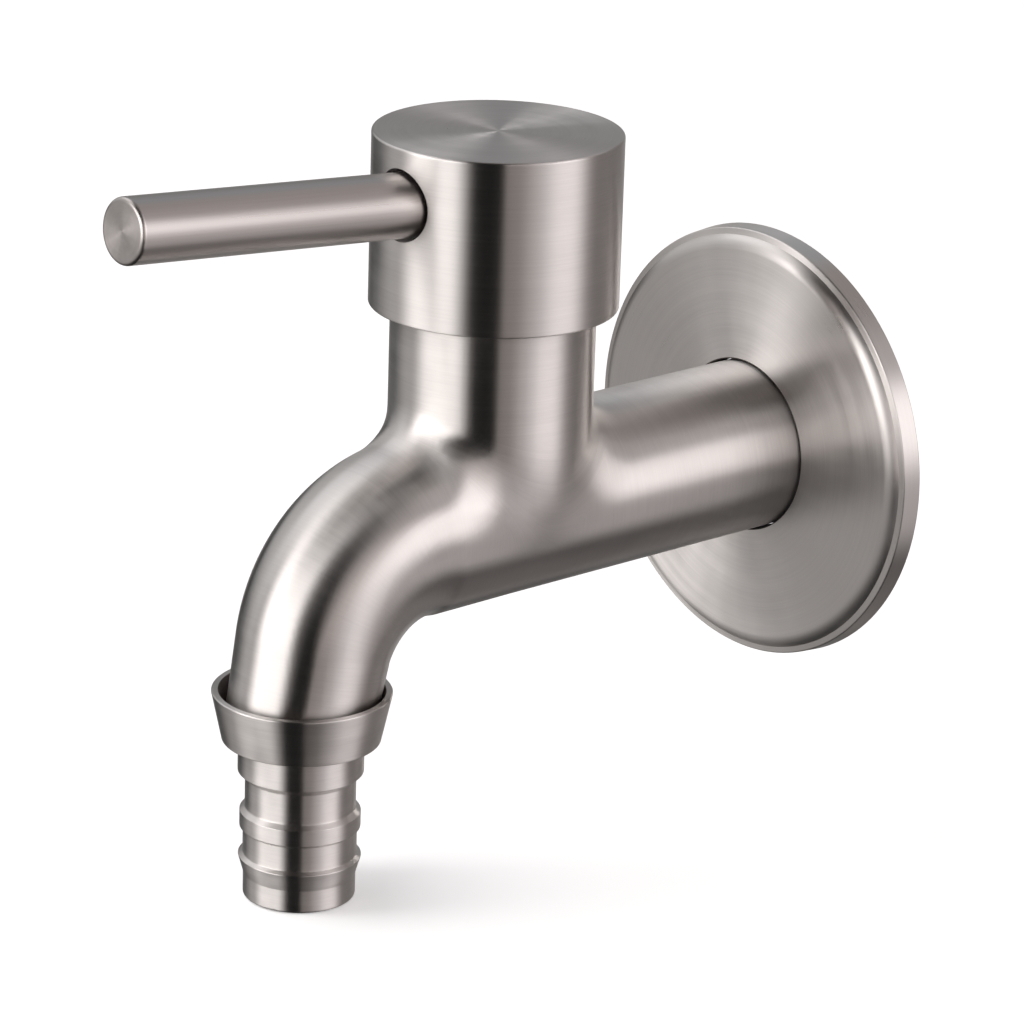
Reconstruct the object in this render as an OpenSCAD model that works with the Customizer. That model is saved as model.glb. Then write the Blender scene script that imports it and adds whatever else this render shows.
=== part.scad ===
// Wall-mounted bib tap with a quarter-turn ceramic valve, a straight lever and a barbed hose tail.
// Frame: origin where the inlet axis meets the wall, +Y into the wall, +Z up, sizes in millimetres.
// The lever is drawn shut, pointing forward over the spout.

/* [Wall inlet] */
// Crest diameter of the half-inch parallel pipe thread
inlet_thread_d = 20.955; // [20.5:0.005:21.5]
// Pitch of that thread
inlet_pitch = 1.814; // [1.5:0.001:2]
// Length of thread that stands into the wall
inlet_thread_len = 14; // [10:0.5:30]
// Bore of the inlet and of the waterway up to the valve
waterway_d = 13; // [10:0.5:14]
// Diameter of the nipple's plain stub inside the tube
stub_d = 19; // [17:0.5:20]
// Length of that stub
stub_len = 11; // [8:0.5:16]

/* [Wall flange] */
// Diameter of the flange at the wall
flange_d = 65; // [56:0.5:80]
// Height of its side band
flange_band = 3.4; // [2.5:0.1:4]
// Height of its face where the tube comes out
flange_depth = 5; // [4.6:0.1:6]
// Thickness of the spun sheet
flange_sheet = 1.2; // [0.8:0.1:1.4]
// Thickness of the rubber ring that grips the tube
grip_ring_t = 2.7; // [2:0.1:3]

/* [Body] */
// Outside diameter of the horizontal tube
tube_d = 25.2; // [24:0.1:27]
// Distance from the wall to the axis of the valve column
column_reach = 54.5; // [50:0.5:80]
// Outside diameter of the valve column
neck_d = 29; // [28:0.1:31]
// Radius of the soft blend between the column and the tube
blend_r = 5; // [3:0.5:6]

/* [Spout] */
// Distance from the column axis to the start of the bend
bend_lead = 14.2; // [13:0.1:20]
// Radius of the bend's centreline
bend_r = 17.6; // [16:0.2:24]
// Angle that the spout turns through
bend_angle = 78.3; // [70:0.1:84]
// Outside diameter where the bend ends
outlet_d = 21.8; // [21:0.1:23]
// Bore of the spout
spout_bore_d = 14.4; // [12:0.2:15]
// Depth of the spout's tip below the inlet axis
tip_drop = 22.6; // [22:0.1:30]

/* [Hose tail] */
// Diameter of the collar's rim
collar_top_d = 25.4; // [25:0.1:28]
// Diameter of the collar's lower edge
collar_bottom_d = 22.3; // [20:0.1:24]
// Height of the collar
collar_h = 7.2; // [6.5:0.1:9]
// Thickness of the collar's wall at the rim
collar_wall = 1; // [0.7:0.05:1.1]
// Height by which the collar's rim stands above the spout's tip
collar_lap = 2.7; // [2:0.1:3.2]
// Diameter of the shoulder under the collar
shoulder_d = 17.7; // [16.4:0.1:19]
// Diameter of the stem between the shoulder and the upper barb
stem_d = 15.6; // [14.5:0.1:16]
// Diameter of the upper barb
upper_barb_d = 17.04; // [16.4:0.02:18]
// Diameter of the stem between the two barbs
mid_stem_d = 16.06; // [15:0.02:16.2]
// Diameter of the lower barb
lower_barb_d = 17.36; // [16.6:0.02:19]
// Diameter of the plain end that enters the hose first
tail_end_d = 15.86; // [15:0.02:16.2]
// Overall height from the collar's rim to the end
tail_h = 30.6; // [29:0.1:40]
// Bore of the hose tail
tail_bore_d = 12; // [9:0.5:12.5]
// Thread that screws the hose tail into the spout
tail_thread_d = 16; // [15:0.1:16.4]
// Thickness of the flat rubber washer on the spout's tip
tail_washer_t = 1.4; // [1:0.1:2]

/* [Handle] */
// Diameter of the handle cap
cap_d = 35.2; // [34.8:0.1:40]
// Height of the cap's lower edge above the inlet axis
cap_bottom = 30.4; // [30:0.1:36]
// Height of the cap
cap_h = 24.8; // [23.5:0.1:32]
// Diameter of the lever
lever_d = 9.14; // [8.4:0.02:9.6]
// Distance from the column axis to the lever's tip
lever_reach = 64.8; // [40:0.2:100]
// Upward tilt of the lever
lever_tilt = 4.75; // [0:0.25:6]
// Height above the cap's lower edge at which the lever's axis meets the column axis
lever_rise = 15.4; // [15:0.1:16]
// Gap all round the lever where it enters the cap
lever_gap = 0.55; // [0.3:0.05:0.7]

/* [Valve] */
// Height of the seat above the inlet axis
seat_height = 9; // [8.5:0.1:9.5]
// Diameter of the water hole through the seat
seat_hole_d = 11; // [9:0.5:11.5]
// Diameter of the headpart's barrel below its thread
barrel_d = 17.2; // [16.8:0.1:17.8]
// Diameter of the ceramic discs
disc_d = 14.2; // [13.6:0.1:14.4]
// Thickness of each ceramic disc
disc_t = 2.6; // [2.2:0.1:2.8]
// Diameter of the spindle inside the headpart
spindle_barrel_d = 11; // [10.4:0.1:11.4]
// Diameter of the spindle's splined end
spindle_d = 8; // [7.6:0.1:8.4]
// Number of teeth on the spline
spline_teeth = 20; // [16:1:24]
// Width across the flats of the headpart's hexagon
hex_af = 17; // [15:0.5:19]
// Size of the metric thread on the lever's shank and the grub screw
shank_d = 6; // [5:0.5:6.5]

/* [Fits] */
// Radial clearance of turning fits and of screwed fits
fit_gap = 0.05; // [0.02:0.01:0.08]
// Radial gap between the flange's hole and the tube
flange_gap = 0.4; // [0.2:0.05:0.6]
// Small gap between faces that come close but move past each other
face_gap = 0.2; // [0.1:0.05:0.3]

/* [Hidden] */
$fn = 96;
eps = 0.02;

// Radii and heights that follow from the sizes above
tube_r = tube_d / 2;
neck_r = neck_d / 2;
cap_r = cap_d / 2;
lever_r = lever_d / 2;
inlet_r = inlet_thread_d / 2;
column_y = -column_reach;
tube_end = 1;
cap_top = cap_bottom + cap_h;
neck_top = cap_bottom + 3;

// Valve stack, from the seat upwards
seal_t = 2;
lower_disc_z = seat_height + seal_t;
upper_disc_z = lower_disc_z + disc_t + eps;
drive_notch = 1.3;
foot_z = upper_disc_z + disc_t + 2.8;
foot_t = 2;
glide_t = 0.5;
cavity_top = foot_z + foot_t + glide_t + 0.1;
thread_z = cavity_top + 0.4;
spindle_shoulder = neck_top - 1;
gasket_t = 0.8;
bonnet_z = neck_top + gasket_t;
bonnet_t = 1.3;
bonnet_r = neck_r - 1.9;
hex_z = bonnet_z + bonnet_t;
hex_h = 3;
boss_z = hex_z + hex_h;
boss_h = 0.7;
circlip_z = boss_z + boss_h + face_gap;
circlip_t = 0.8;
centring_z = neck_top - 1.95;
centring_t = 1.5;
centring_r = neck_r - 1.05;
cap_recess_z = circlip_z + circlip_t + 0.6;
spline_top = cap_top - 4.2;
barrel_r = barrel_d / 2;
chamber_r = barrel_r + 1;
cavity_r = disc_d / 2 + fit_gap;
spindle_barrel_r = spindle_barrel_d / 2;
spindle_r = spindle_d / 2;
spline_depth = 0.45;
oring_section_r = 0.72;
oring_floor_r = spindle_barrel_r - 1.5;
oring_groove = 1.8;

// Handle sizes
lever_z = cap_bottom + lever_rise;
cap_wall = cap_r - (neck_r + 0.8);
shank_r = shank_d / 2;
recess_floor = cap_r - 5.6;
lever_oring_t = 1.6;
lever_seat = recess_floor + lever_oring_t + 2 * eps;
shank_len = 5.5;
grub_seat = (spindle_r + 0.05 + shank_r * sin(lever_tilt)) / cos(lever_tilt);
grub_len = lever_seat - shank_len - grub_seat - face_gap;
edge_r = 0.35;

// Spout centreline, leaning past the bend and cut level at its tip
bend_start = column_reach + bend_lead;
bend_end_y = bend_start + bend_r * sin(bend_angle);
bend_end_drop = bend_r * (1 - cos(bend_angle));
lean_len = (tip_drop - bend_end_drop) / sin(bend_angle);
tail_y = -(bend_end_y + lean_len * cos(bend_angle));
spout_r0 = tube_r + 0.1;
spout_r1 = outlet_d / 2;
tip_r = spout_r1 - 0.35;
tail_thread_r = tail_thread_d / 2;
collar_z = collar_lap - tip_drop;
washer_z = -tip_drop - tail_washer_t;

function span(from, to, count) = [for (i = [0 : count]) from + (to - from) * i / count];
function arc_points(centre, r, from, to, count) =
    [for (a = span(from, to, count)) centre + r * [cos(a), sin(a)]];

// Skin between rings of equally many points, capped at both ends.
// Each ring turns clockwise for someone who looks from the start towards the end.
module loft(rings) {
    n = len(rings[0]);
    last = len(rings) - 1;
    points = [for (ring = rings) for (p = ring) p];
    sides = [for (j = [0 : last - 1]) for (i = [0 : n - 1])
        each [[j * n + i, (j + 1) * n + i, j * n + (i + 1) % n],
              [j * n + (i + 1) % n, (j + 1) * n + i, (j + 1) * n + (i + 1) % n]]];
    start_cap = [for (i = [1 : n - 2]) [0, i, i + 1]];
    end_cap = [for (i = [1 : n - 2]) [last * n, last * n + i + 1, last * n + i]];
    polyhedron(points = points, faces = concat(sides, start_cap, end_cap));
}

// Places a shape drawn along +Z so that it runs from the wall plane towards the room
module along_inlet() rotate([90, 0, 0]) children();

module at_column() translate([0, column_y, 0]) children();

module at_tail() translate([0, tail_y, 0]) children();

module along_lever() translate([0, column_y, lever_z]) rotate([90 - lever_tilt, 0, 0]) children();

module tube_ring(outer, inner, height) {
    difference() {
        cylinder(r = outer, h = height);
        translate([0, 0, -eps]) cylinder(r = inner, h = height + 2 * eps);
    }
}

module rubber_ring(ring_r, section_r) {
    rotate_extrude() translate([ring_r, 0]) circle(r = section_r, $fn = 48);
}

module sector(outer, inner, height, angle) {
    rotate([0, 0, -angle / 2]) rotate_extrude(angle = angle)
        translate([inner, 0]) square([outer - inner, height]);
}

// Ring thread: crests of the pitch with flat tops, one after another
function thread_outline(crest, root, pitch, length) =
    let (turns = floor(length / pitch), flat_w = pitch * 0.3, flank = pitch * 0.3)
    [for (i = [0 : turns - 1])
        each [[crest, i * pitch], [crest, i * pitch + flat_w], [root, i * pitch + flat_w + flank],
              [root, (i + 1) * pitch - flank]]];

// Spout: straight to the bend, round the bend, then leaning down to a level tip
function spout_radius(angle) = spout_r0 + (spout_r1 - spout_r0) * angle / bend_angle;
function spout_point(angle) =
    [0, -bend_start - bend_r * sin(angle), -bend_r * (1 - cos(angle))];
function spout_ring(centre, angle, r, count) =
    [for (i = [0 : count - 1]) let (turn = -360 * i / count)
        centre + r * [sin(turn), -cos(turn) * sin(angle), cos(turn) * cos(angle)]];
function drop_to_tip(p) =
    p + [0, -cos(bend_angle), -sin(bend_angle)] * (p[2] + tip_drop) / sin(bend_angle);

module spout_skin() {
    sides = 48;
    start = [0, column_y - 2, 0];
    tip_ring = [for (p = spout_ring(spout_point(bend_angle), bend_angle, tip_r, sides)) drop_to_tip(p)];
    loft(concat(
        [spout_ring(start, 0, spout_r0, sides)],
        [for (a = span(0, bend_angle, 12)) spout_ring(spout_point(a), a, spout_radius(a), sides)],
        [tip_ring]));
}

// Rolling-ball blend between the column and the tube. side is 1 over the spout, -1 towards the wall.
// Its skin lies a little inside both, and dives into them at its ends.
blend_reach = 70;
function blend_radius(t) = blend_r * (0.3 + 0.7 * cos(t));
function blend_sink(t) = 0.15 + 0.8 * pow(abs(t) / blend_reach, 8);
function blend_section(t, side, count) =
    let (rf = blend_radius(t),
         skin_r = side > 0 ? spout_r0 : tube_r,
         x = (skin_r + rf) * sin(t),
         run = sqrt(pow(neck_r + rf, 2) - x * x),
         arm = bend_r + (skin_r + rf) * cos(t),
         bend = side > 0 ? asin(max(0, (column_reach + run - bend_start) / arm)) : 0,
         centre = [x, column_y - side * run, (skin_r + rf) * cos(t) - arm * (1 - cos(bend))],
         to_column = [-x, side * run, 0] / (neck_r + rf),
         to_tube = -[sin(t), -cos(t) * sin(bend), cos(t) * cos(bend)],
         open = acos(to_column * to_tube),
         arc = [for (i = [0 : count]) let (u = open * i / count)
             centre + (rf + blend_sink(t)) * (to_column * sin(open - u) + to_tube * sin(u)) / sin(open)])
    concat(arc, [centre + 1.35 * rf * (to_column + to_tube)]);

module blend_skin(side) {
    loft([for (t = span(-side * blend_reach, side * blend_reach, 18)) blend_section(t, side, 7)]);
}

// Column with its lower end drawn in to vanish inside the tube
module column_skin() {
    low_r = 7.5;
    low_z = -10;
    turn_z = 4;
    rotate_extrude() polygon(concat(
        [[0, neck_top], [0, low_z]],
        [for (a = span(90, 0, 12))
            [low_r + (neck_r - low_r) * cos(a), turn_z + (low_z - turn_z) * sin(a)]],
        [[neck_r, neck_top]]));
}

// Bore that follows the spout, then the tapped hole for the hose tail
module spout_bore() {
    bore_r = spout_bore_d / 2;
    divider = 5.2;
    bore_from = column_reach + seat_hole_d / 2 + divider;
    lean_lap = 1;
    lean_run = 2;
    translate([0, -bore_from, 0]) along_inlet() cylinder(r = bore_r, h = bend_start - bore_from + eps);
    translate([0, -bend_start, -bend_r]) rotate([180, -90, 0])
        rotate_extrude(angle = bend_angle) translate([bend_r, 0]) circle(r = bore_r);
    translate([0, -bend_end_y, -bend_end_drop]) rotate([90 + bend_angle, 0, 0])
        translate([0, 0, -lean_lap]) cylinder(r = bore_r - fit_gap, h = lean_lap + lean_run);
    at_tail() translate([0, 0, -tip_drop - eps])
        cylinder(r = tail_thread_r + fit_gap, h = tip_drop - bend_end_drop);
}

// Two drillings side by side that lead from the valve chamber down into the spout, clear of the seat
module outlet_passage() {
    drill_r = 3.6;
    drill_x = 3;
    run = 13;
    fall = 14.7;
    for (x = [-drill_x, drill_x]) at_column() translate([x, -5, seat_height + 8.2])
        rotate([180 - atan(run / fall), 0, 0]) cylinder(r = drill_r, h = norm([run, fall]));
}

module tap_body() {
    color("#b5aca6") difference() {
        union() {
            translate([0, -tube_end, 0]) along_inlet() cylinder(r = tube_r, h = column_reach + 4 - tube_end);
            at_column() column_skin();
            spout_skin();
            blend_skin(1);
            blend_skin(-1);
        }
        along_inlet() cylinder(r = stub_d / 2 + fit_gap, h = tube_end + stub_len + face_gap);
        along_inlet() cylinder(r = waterway_d / 2, h = column_reach + seat_hole_d / 2);
        at_column() cylinder(r = seat_hole_d / 2, h = seat_height + eps);
        at_column() translate([0, 0, seat_height]) cylinder(r = chamber_r, h = neck_top);
        at_column() translate([0, 0, thread_z]) cylinder(r = inlet_r + fit_gap, h = neck_top);
        at_column() translate([0, 0, centring_z - face_gap / 4])
            tube_ring(neck_r + 1, centring_r - fit_gap, centring_t + face_gap / 2);
        outlet_passage();
        spout_bore();
    }
}

// Drawn from its outer end inwards: thread, plain land across the wall plane, stub inside the tube
module inlet_nipple() {
    root_r = inlet_r - 0.64 * inlet_pitch;
    lead_in = 1;
    land_len = 0.8;
    tube_face = inlet_thread_len + tube_end;
    color("#b5aca6") translate([0, inlet_thread_len, 0]) along_inlet() difference() {
        rotate_extrude() polygon(concat(
            [[0, 0], [root_r, 0], [inlet_r - 0.2, lead_in - 0.1]],
            [for (p = thread_outline(inlet_r, root_r, inlet_pitch, inlet_thread_len - lead_in - land_len))
                p + [0, lead_in]],
            [[inlet_r, lead_in + inlet_pitch * floor((inlet_thread_len - lead_in - land_len) / inlet_pitch)],
             [inlet_r, tube_face], [stub_d / 2, tube_face], [stub_d / 2, tube_face + stub_len],
             [0, tube_face + stub_len]]));
        translate([0, 0, -eps]) cylinder(r = waterway_d / 2, h = tube_face + stub_len + 2 * eps);
    }
}

module wall_flange() {
    rim_r = flange_d / 2;
    hole_r = tube_r + flange_gap;
    lip_r = rim_r - 0.75;
    crown_r = rim_r - 2.2;
    crown_d = flange_band + 0.95;
    housing_r = tube_r + grip_ring_t + fit_gap + 0.15;
    back_d = flange_depth - flange_sheet;
    color("#a49c98") along_inlet() rotate_extrude() polygon(concat(
        [[rim_r, 0], [rim_r - 0.25, flange_band - 0.15], [rim_r - 0.4, flange_band], [lip_r, flange_band]],
        arc_points([lip_r - 1.45, flange_band - 0.5], 1.45, 20, 75, 6),
        [[crown_r - 1.2, crown_d], [hole_r + 0.2, flange_depth], [hole_r, flange_depth - 0.2],
         [hole_r, back_d], [housing_r, back_d], [housing_r, 1], [housing_r + 0.9, 1],
         [housing_r + 0.9, back_d - 0.05], [crown_r - 1.4, crown_d - flange_sheet],
         [rim_r - 1.6, flange_band - 0.9], [rim_r - flange_sheet, 0]]));
}

module flange_grip_ring() {
    section_r = grip_ring_t / 2;
    color("#1c1c1c") translate([0, -(flange_depth - flange_sheet - section_r - eps), 0]) along_inlet()
        rubber_ring(tube_r + 0.08 + section_r, section_r);
}

module headpart_body() {
    window_z = upper_disc_z + disc_t + 0.4;
    window_h = foot_z + foot_t - window_z - 1;
    window_w = 9;
    tab_w = 3;
    color("#b98f4a") at_column() difference() {
        union() {
            translate([0, 0, seat_height + 0.4]) cylinder(r = barrel_r, h = bonnet_z - seat_height - 0.4);
            translate([0, 0, thread_z + 0.3]) cylinder(r = inlet_r, h = bonnet_z - thread_z - 0.3);
            translate([0, 0, bonnet_z]) cylinder(r = bonnet_r, h = bonnet_t);
            translate([0, 0, hex_z]) cylinder(d = hex_af / cos(30), h = hex_h, $fn = 6);
            translate([0, 0, boss_z]) cylinder(r = hex_af / 2 - 1.5, h = boss_h);
        }
        cylinder(r = cavity_r, h = cavity_top);
        cylinder(r = spindle_barrel_r + fit_gap, h = spindle_shoulder + face_gap);
        cylinder(r = spindle_r + fit_gap, h = boss_z + boss_h + eps);
        for (turn = [0, 90]) rotate([0, 0, turn])
            translate([-barrel_d, -window_w / 2, window_z]) cube([2 * barrel_d, window_w, window_h]);
        translate([-barrel_d, -tab_w / 2, 0]) cube([2 * barrel_d, tab_w, lower_disc_z + disc_t]);
    }
}

module bonnet_gasket() {
    color("#303030") at_column() translate([0, 0, neck_top])
        tube_ring(bonnet_r, inlet_r + 0.15, gasket_t);
}

module seat_seal() {
    color("#262626") at_column() translate([0, 0, seat_height])
        tube_ring(cavity_r - face_gap, seat_hole_d / 2 - 0.9, seal_t);
}

// Quarter windows of both discs; the drive notches lie between those of the upper disc
module disc_windows(turn) {
    for (half = [0, 180]) rotate([0, 0, turn + half]) translate([0, 0, -eps])
        sector(disc_d / 2 - 1.5, 1.6, disc_t + 2 * eps, 78);
}

module lower_ceramic_disc() {
    tab_w = 2.8;
    color("#efece4") at_column() translate([0, 0, lower_disc_z]) difference() {
        union() {
            cylinder(r = disc_d / 2, h = disc_t);
            translate([-barrel_r + 0.4, -tab_w / 2, 0]) cube([barrel_d - 0.8, tab_w, disc_t - 0.1]);
        }
        disc_windows(90);
    }
}

module upper_ceramic_disc() {
    color("#f4f1ea") at_column() translate([0, 0, upper_disc_z]) difference() {
        cylinder(r = disc_d / 2 - fit_gap, h = disc_t);
        disc_windows(0);
        for (half = [90, 270]) rotate([0, 0, half]) translate([0, 0, disc_t - drive_notch])
            sector(disc_d / 2 + 1, 1.6, drive_notch + eps, 62);
    }
}

module glide_washer() {
    color("#e9e9e6") at_column() translate([0, 0, foot_z + foot_t + eps])
        tube_ring(cavity_r - 0.25, spindle_barrel_r + fit_gap, glide_t);
}

function oring_z(index) = cavity_top + 2.4 + index * 4.2;

// Spline outline with flat-topped teeth
function spline_outline(crest, root, teeth) =
    [for (i = [0 : teeth - 1]) for (k = [[-0.28, root], [-0.14, crest], [0.14, crest], [0.28, root]])
        k[1] * [cos(360 * (i + k[0]) / teeth), sin(360 * (i + k[0]) / teeth)]];

module spindle() {
    arm_z = upper_disc_z + disc_t - drive_notch + 0.15;
    color("#c09a55") at_column() difference() {
        union() {
            for (half = [90, 270]) rotate([0, 0, half]) translate([0, 0, arm_z])
                sector(disc_d / 2 - 1, 2.2, foot_z - arm_z + eps, 58);
            translate([0, 0, foot_z]) cylinder(r = disc_d / 2 - fit_gap, h = foot_t);
            translate([0, 0, foot_z]) cylinder(r = spindle_barrel_r, h = spindle_shoulder - foot_z);
            translate([0, 0, foot_z]) cylinder(r = spindle_r, h = cap_recess_z - foot_z);
            translate([0, 0, cap_recess_z - 0.2]) linear_extrude(spline_top - cap_recess_z - 0.3)
                polygon(spline_outline(spindle_r - eps, spindle_r - spline_depth, spline_teeth));
        }
        for (i = [0, 1]) translate([0, 0, oring_z(i) - oring_groove / 2])
            tube_ring(spindle_barrel_r + 1, oring_floor_r, oring_groove);
        translate([0, 0, circlip_z - 0.05]) tube_ring(spindle_r + 1, spindle_r - 0.6, circlip_t + 0.1);
    }
}

module spindle_orings() {
    color("#202020") at_column() for (i = [0, 1]) translate([0, 0, oring_z(i)])
        rubber_ring(oring_floor_r + eps + oring_section_r, oring_section_r);
}

module spindle_circlip() {
    gap_w = 3;
    color("#8f8f8f") at_column() translate([0, 0, circlip_z]) difference() {
        tube_ring(spindle_r + 1.3, spindle_r - 0.6 + eps, circlip_t);
        translate([0, -gap_w / 2, -eps]) cube([spindle_d, gap_w, circlip_t + 2 * eps]);
    }
}

module centring_ring() {
    color("#e6e3da") at_column() translate([0, 0, centring_z])
        tube_ring(cap_r - cap_wall - fit_gap, centring_r, centring_t);
}

module handle_cap() {
    lever_hole_r = lever_r + lever_gap;
    color("#a9a19d") difference() {
        at_column() rotate_extrude() polygon(concat(
            [[0, cap_bottom], [cap_r - edge_r, cap_bottom]],
            arc_points([cap_r - edge_r, cap_bottom + edge_r], edge_r, -90, 0, 4),
            arc_points([cap_r - edge_r, cap_top - edge_r], edge_r, 0, 90, 4),
            [[0, cap_top]]));
        at_column() translate([0, 0, cap_bottom - eps])
            cylinder(r = cap_r - cap_wall, h = hex_z + 0.5 - cap_bottom + eps);
        at_column() translate([0, 0, cap_bottom])
            cylinder(r = hex_af / 2 / cos(30) + 1.5, h = cap_recess_z - cap_bottom);
        at_column() translate([0, 0, cap_recess_z - eps]) linear_extrude(spline_top - cap_recess_z)
            polygon(spline_outline(spindle_r + fit_gap, spindle_r - spline_depth + fit_gap, spline_teeth));
        along_lever() translate([0, 0, recess_floor]) cylinder(r = lever_hole_r, h = cap_r);
        along_lever() translate([0, 0, spindle_r - 0.5]) cylinder(r = shank_r + fit_gap, h = cap_r / 2);
    }
}

module lever_rod() {
    tip_r = 0.6;
    color("#aea5a0") along_lever() union() {
        rotate_extrude() polygon(concat(
            [[0, lever_seat], [lever_r - edge_r, lever_seat], [lever_r, lever_seat + edge_r]],
            arc_points([lever_r - tip_r, lever_reach - tip_r], tip_r, 0, 90, 5),
            [[0, lever_reach]]));
        translate([0, 0, lever_seat - shank_len]) cylinder(r = shank_r, h = shank_len + eps);
    }
}

module lever_oring() {
    section_r = lever_oring_t / 2;
    color("#161616") along_lever() translate([0, 0, recess_floor + eps + section_r])
        rubber_ring(shank_r + eps + section_r, section_r);
}

module grub_screw() {
    socket_af = 2.5;
    socket_depth = 2;
    color("#6f6a66") along_lever() translate([0, 0, grub_seat]) difference() {
        cylinder(r = shank_r, h = grub_len);
        translate([0, 0, grub_len - socket_depth])
            cylinder(d = socket_af / cos(30), h = socket_depth + eps, $fn = 6);
    }
}

module hose_tail() {
    top_r = collar_top_d / 2;
    low_r = collar_bottom_d / 2;
    shoulder_r = shoulder_d / 2;
    stem_r = stem_d / 2;
    upper_r = upper_barb_d / 2;
    mid_r = mid_stem_d / 2;
    lower_r = lower_barb_d / 2;
    end_r = tail_end_d / 2;
    shoulder_h = 4.7;
    stem_h = 6;
    upper_barb_h = 2.3;
    mid_stem_h = 4.4;
    lower_barb_h = 2.6;
    end_round = 0.4;
    thread_top_gap = 2;
    collar_low = collar_z - collar_h;
    shoulder_low = collar_low - shoulder_h;
    upper_z = shoulder_low - stem_h;
    upper_low = upper_z - upper_barb_h;
    lower_z = upper_low - mid_stem_h;
    end_z = collar_z - tail_h;
    cup_floor_r = tail_thread_r + 2.8;
    color("#aaa29e") at_tail() difference() {
        union() {
            rotate_extrude() polygon(concat(
                [[0, washer_z], [cup_floor_r, washer_z], [top_r - collar_wall, collar_z - 0.15],
                 [top_r - collar_wall + 0.15, collar_z], [top_r - 0.2, collar_z], [top_r, collar_z - 0.25],
                 [low_r, collar_low + 0.2], [low_r - 0.2, collar_low], [shoulder_r, collar_low],
                 [shoulder_r, shoulder_low], [stem_r, shoulder_low - 0.85],
                 [stem_r, upper_z + 0.65], [upper_r, upper_z],
                 [upper_r, upper_low], [mid_r, upper_low - 0.4],
                 [mid_r, lower_z + 0.4], [lower_r, lower_z],
                 [end_r, lower_z - lower_barb_h]],
                arc_points([end_r - end_round, end_z + end_round], end_round, 0, -90, 4),
                [[0, end_z]]));
            translate([0, 0, washer_z - eps])
                cylinder(r = tail_thread_r, h = -bend_end_drop - thread_top_gap - washer_z + eps);
        }
        translate([0, 0, end_z - eps]) cylinder(r = tail_bore_d / 2, h = tail_h + tip_drop);
    }
}

module tail_washer() {
    color("#242424") at_tail() translate([0, 0, washer_z])
        tube_ring(tail_thread_r + 2.4, tail_thread_r + 0.1, tail_washer_t);
}

tap_body();
inlet_nipple();
wall_flange();
flange_grip_ring();
headpart_body();
bonnet_gasket();
seat_seal();
lower_ceramic_disc();
upper_ceramic_disc();
glide_washer();
spindle();
spindle_orings();
spindle_circlip();
centring_ring();
handle_cap();
lever_rod();
lever_oring();
grub_screw();
hose_tail();
tail_washer();
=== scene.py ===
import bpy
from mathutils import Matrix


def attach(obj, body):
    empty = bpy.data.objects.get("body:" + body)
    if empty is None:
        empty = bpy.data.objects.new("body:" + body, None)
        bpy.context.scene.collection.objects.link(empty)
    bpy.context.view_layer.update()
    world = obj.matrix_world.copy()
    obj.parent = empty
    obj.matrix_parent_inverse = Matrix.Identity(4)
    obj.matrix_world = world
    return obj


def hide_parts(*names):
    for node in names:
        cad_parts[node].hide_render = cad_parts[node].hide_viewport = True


bl_info = {
    "name": "Bib Tap",
    "version": (1, 0, 0),
    "blender": (4, 5, 0),
    "location": "3D View > Sidebar > Bib Tap",
    "description": "Dresses the packed bib tap in brushed stainless steel and lights it on a pale floor",
    "category": "Object",
}

import math

import bmesh
import bpy
import numpy as np
from bpy.props import FloatProperty, FloatVectorProperty, IntProperty, PointerProperty
from mathutils import Matrix, Vector

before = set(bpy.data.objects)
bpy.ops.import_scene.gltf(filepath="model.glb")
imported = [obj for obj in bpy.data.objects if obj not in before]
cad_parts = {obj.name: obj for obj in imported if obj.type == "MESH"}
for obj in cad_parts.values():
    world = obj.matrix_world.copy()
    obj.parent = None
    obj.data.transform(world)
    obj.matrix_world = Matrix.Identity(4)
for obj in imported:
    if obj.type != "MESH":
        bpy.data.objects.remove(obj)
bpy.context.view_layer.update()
MM = 0.001
# Lengths below this count as zero, and divisions are kept above it.
TINY = 1e-9
WALL_POINT = Vector((0, 0, 0))
UP = Vector((0, 0, 1))
TO_ROOM = Vector((0, -1, 0))


# Small tools for nodes, materials and objects

def linear(hex_colour):
    """Turns an sRGB hex value such as #B7AFA9 to the linear RGBA that the sockets take."""
    parts = [int(hex_colour[i:i + 2], 16) / 255 for i in (1, 3, 5)]
    return (*[p / 12.92 if p <= 0.04045 else ((p + 0.055) / 1.055) ** 2.4 for p in parts], 1.0)


def plug(tree, socket, value):
    """Links another node's output to a socket, or sets the socket's own value."""
    if isinstance(value, bpy.types.NodeSocket):
        tree.links.new(value, socket)
    elif value is not None:
        socket.default_value = value


def add(tree, kind, inputs=None, **settings):
    """Adds a node with its settings and its inputs."""
    node = tree.nodes.new(kind)
    for name, value in settings.items():
        setattr(node, name, value)
    for name, value in (inputs or {}).items():
        plug(tree, node.inputs[name], value)
    return node


def new_material(name, viewport_hex):
    """An empty material and its node tree."""
    material = bpy.data.materials.new(name)
    material.use_nodes = True
    material.diffuse_color = linear(viewport_hex)
    material.node_tree.nodes.clear()
    return material, material.node_tree


def shade(tree, inputs):
    """Ends a material's tree with its shader and its output."""
    shader = add(tree, "ShaderNodeBsdfPrincipled", inputs)
    add(tree, "ShaderNodeOutputMaterial", {"Surface": shader.outputs["BSDF"]})


def link_mesh(name, mesh):
    obj = bpy.data.objects.new(name, mesh)
    bpy.context.scene.collection.objects.link(obj)
    return obj


def bake_modifiers(obj):
    """Replaces the object's mesh by one with its modifiers worked in, and drops the modifiers."""
    graph = bpy.context.evaluated_depsgraph_get()
    mesh = bpy.data.meshes.new_from_object(obj.evaluated_get(graph), depsgraph=graph)
    mesh.name = obj.name
    obj.modifiers.clear()
    old = obj.data
    obj.data = mesh
    bpy.data.meshes.remove(old)


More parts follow.
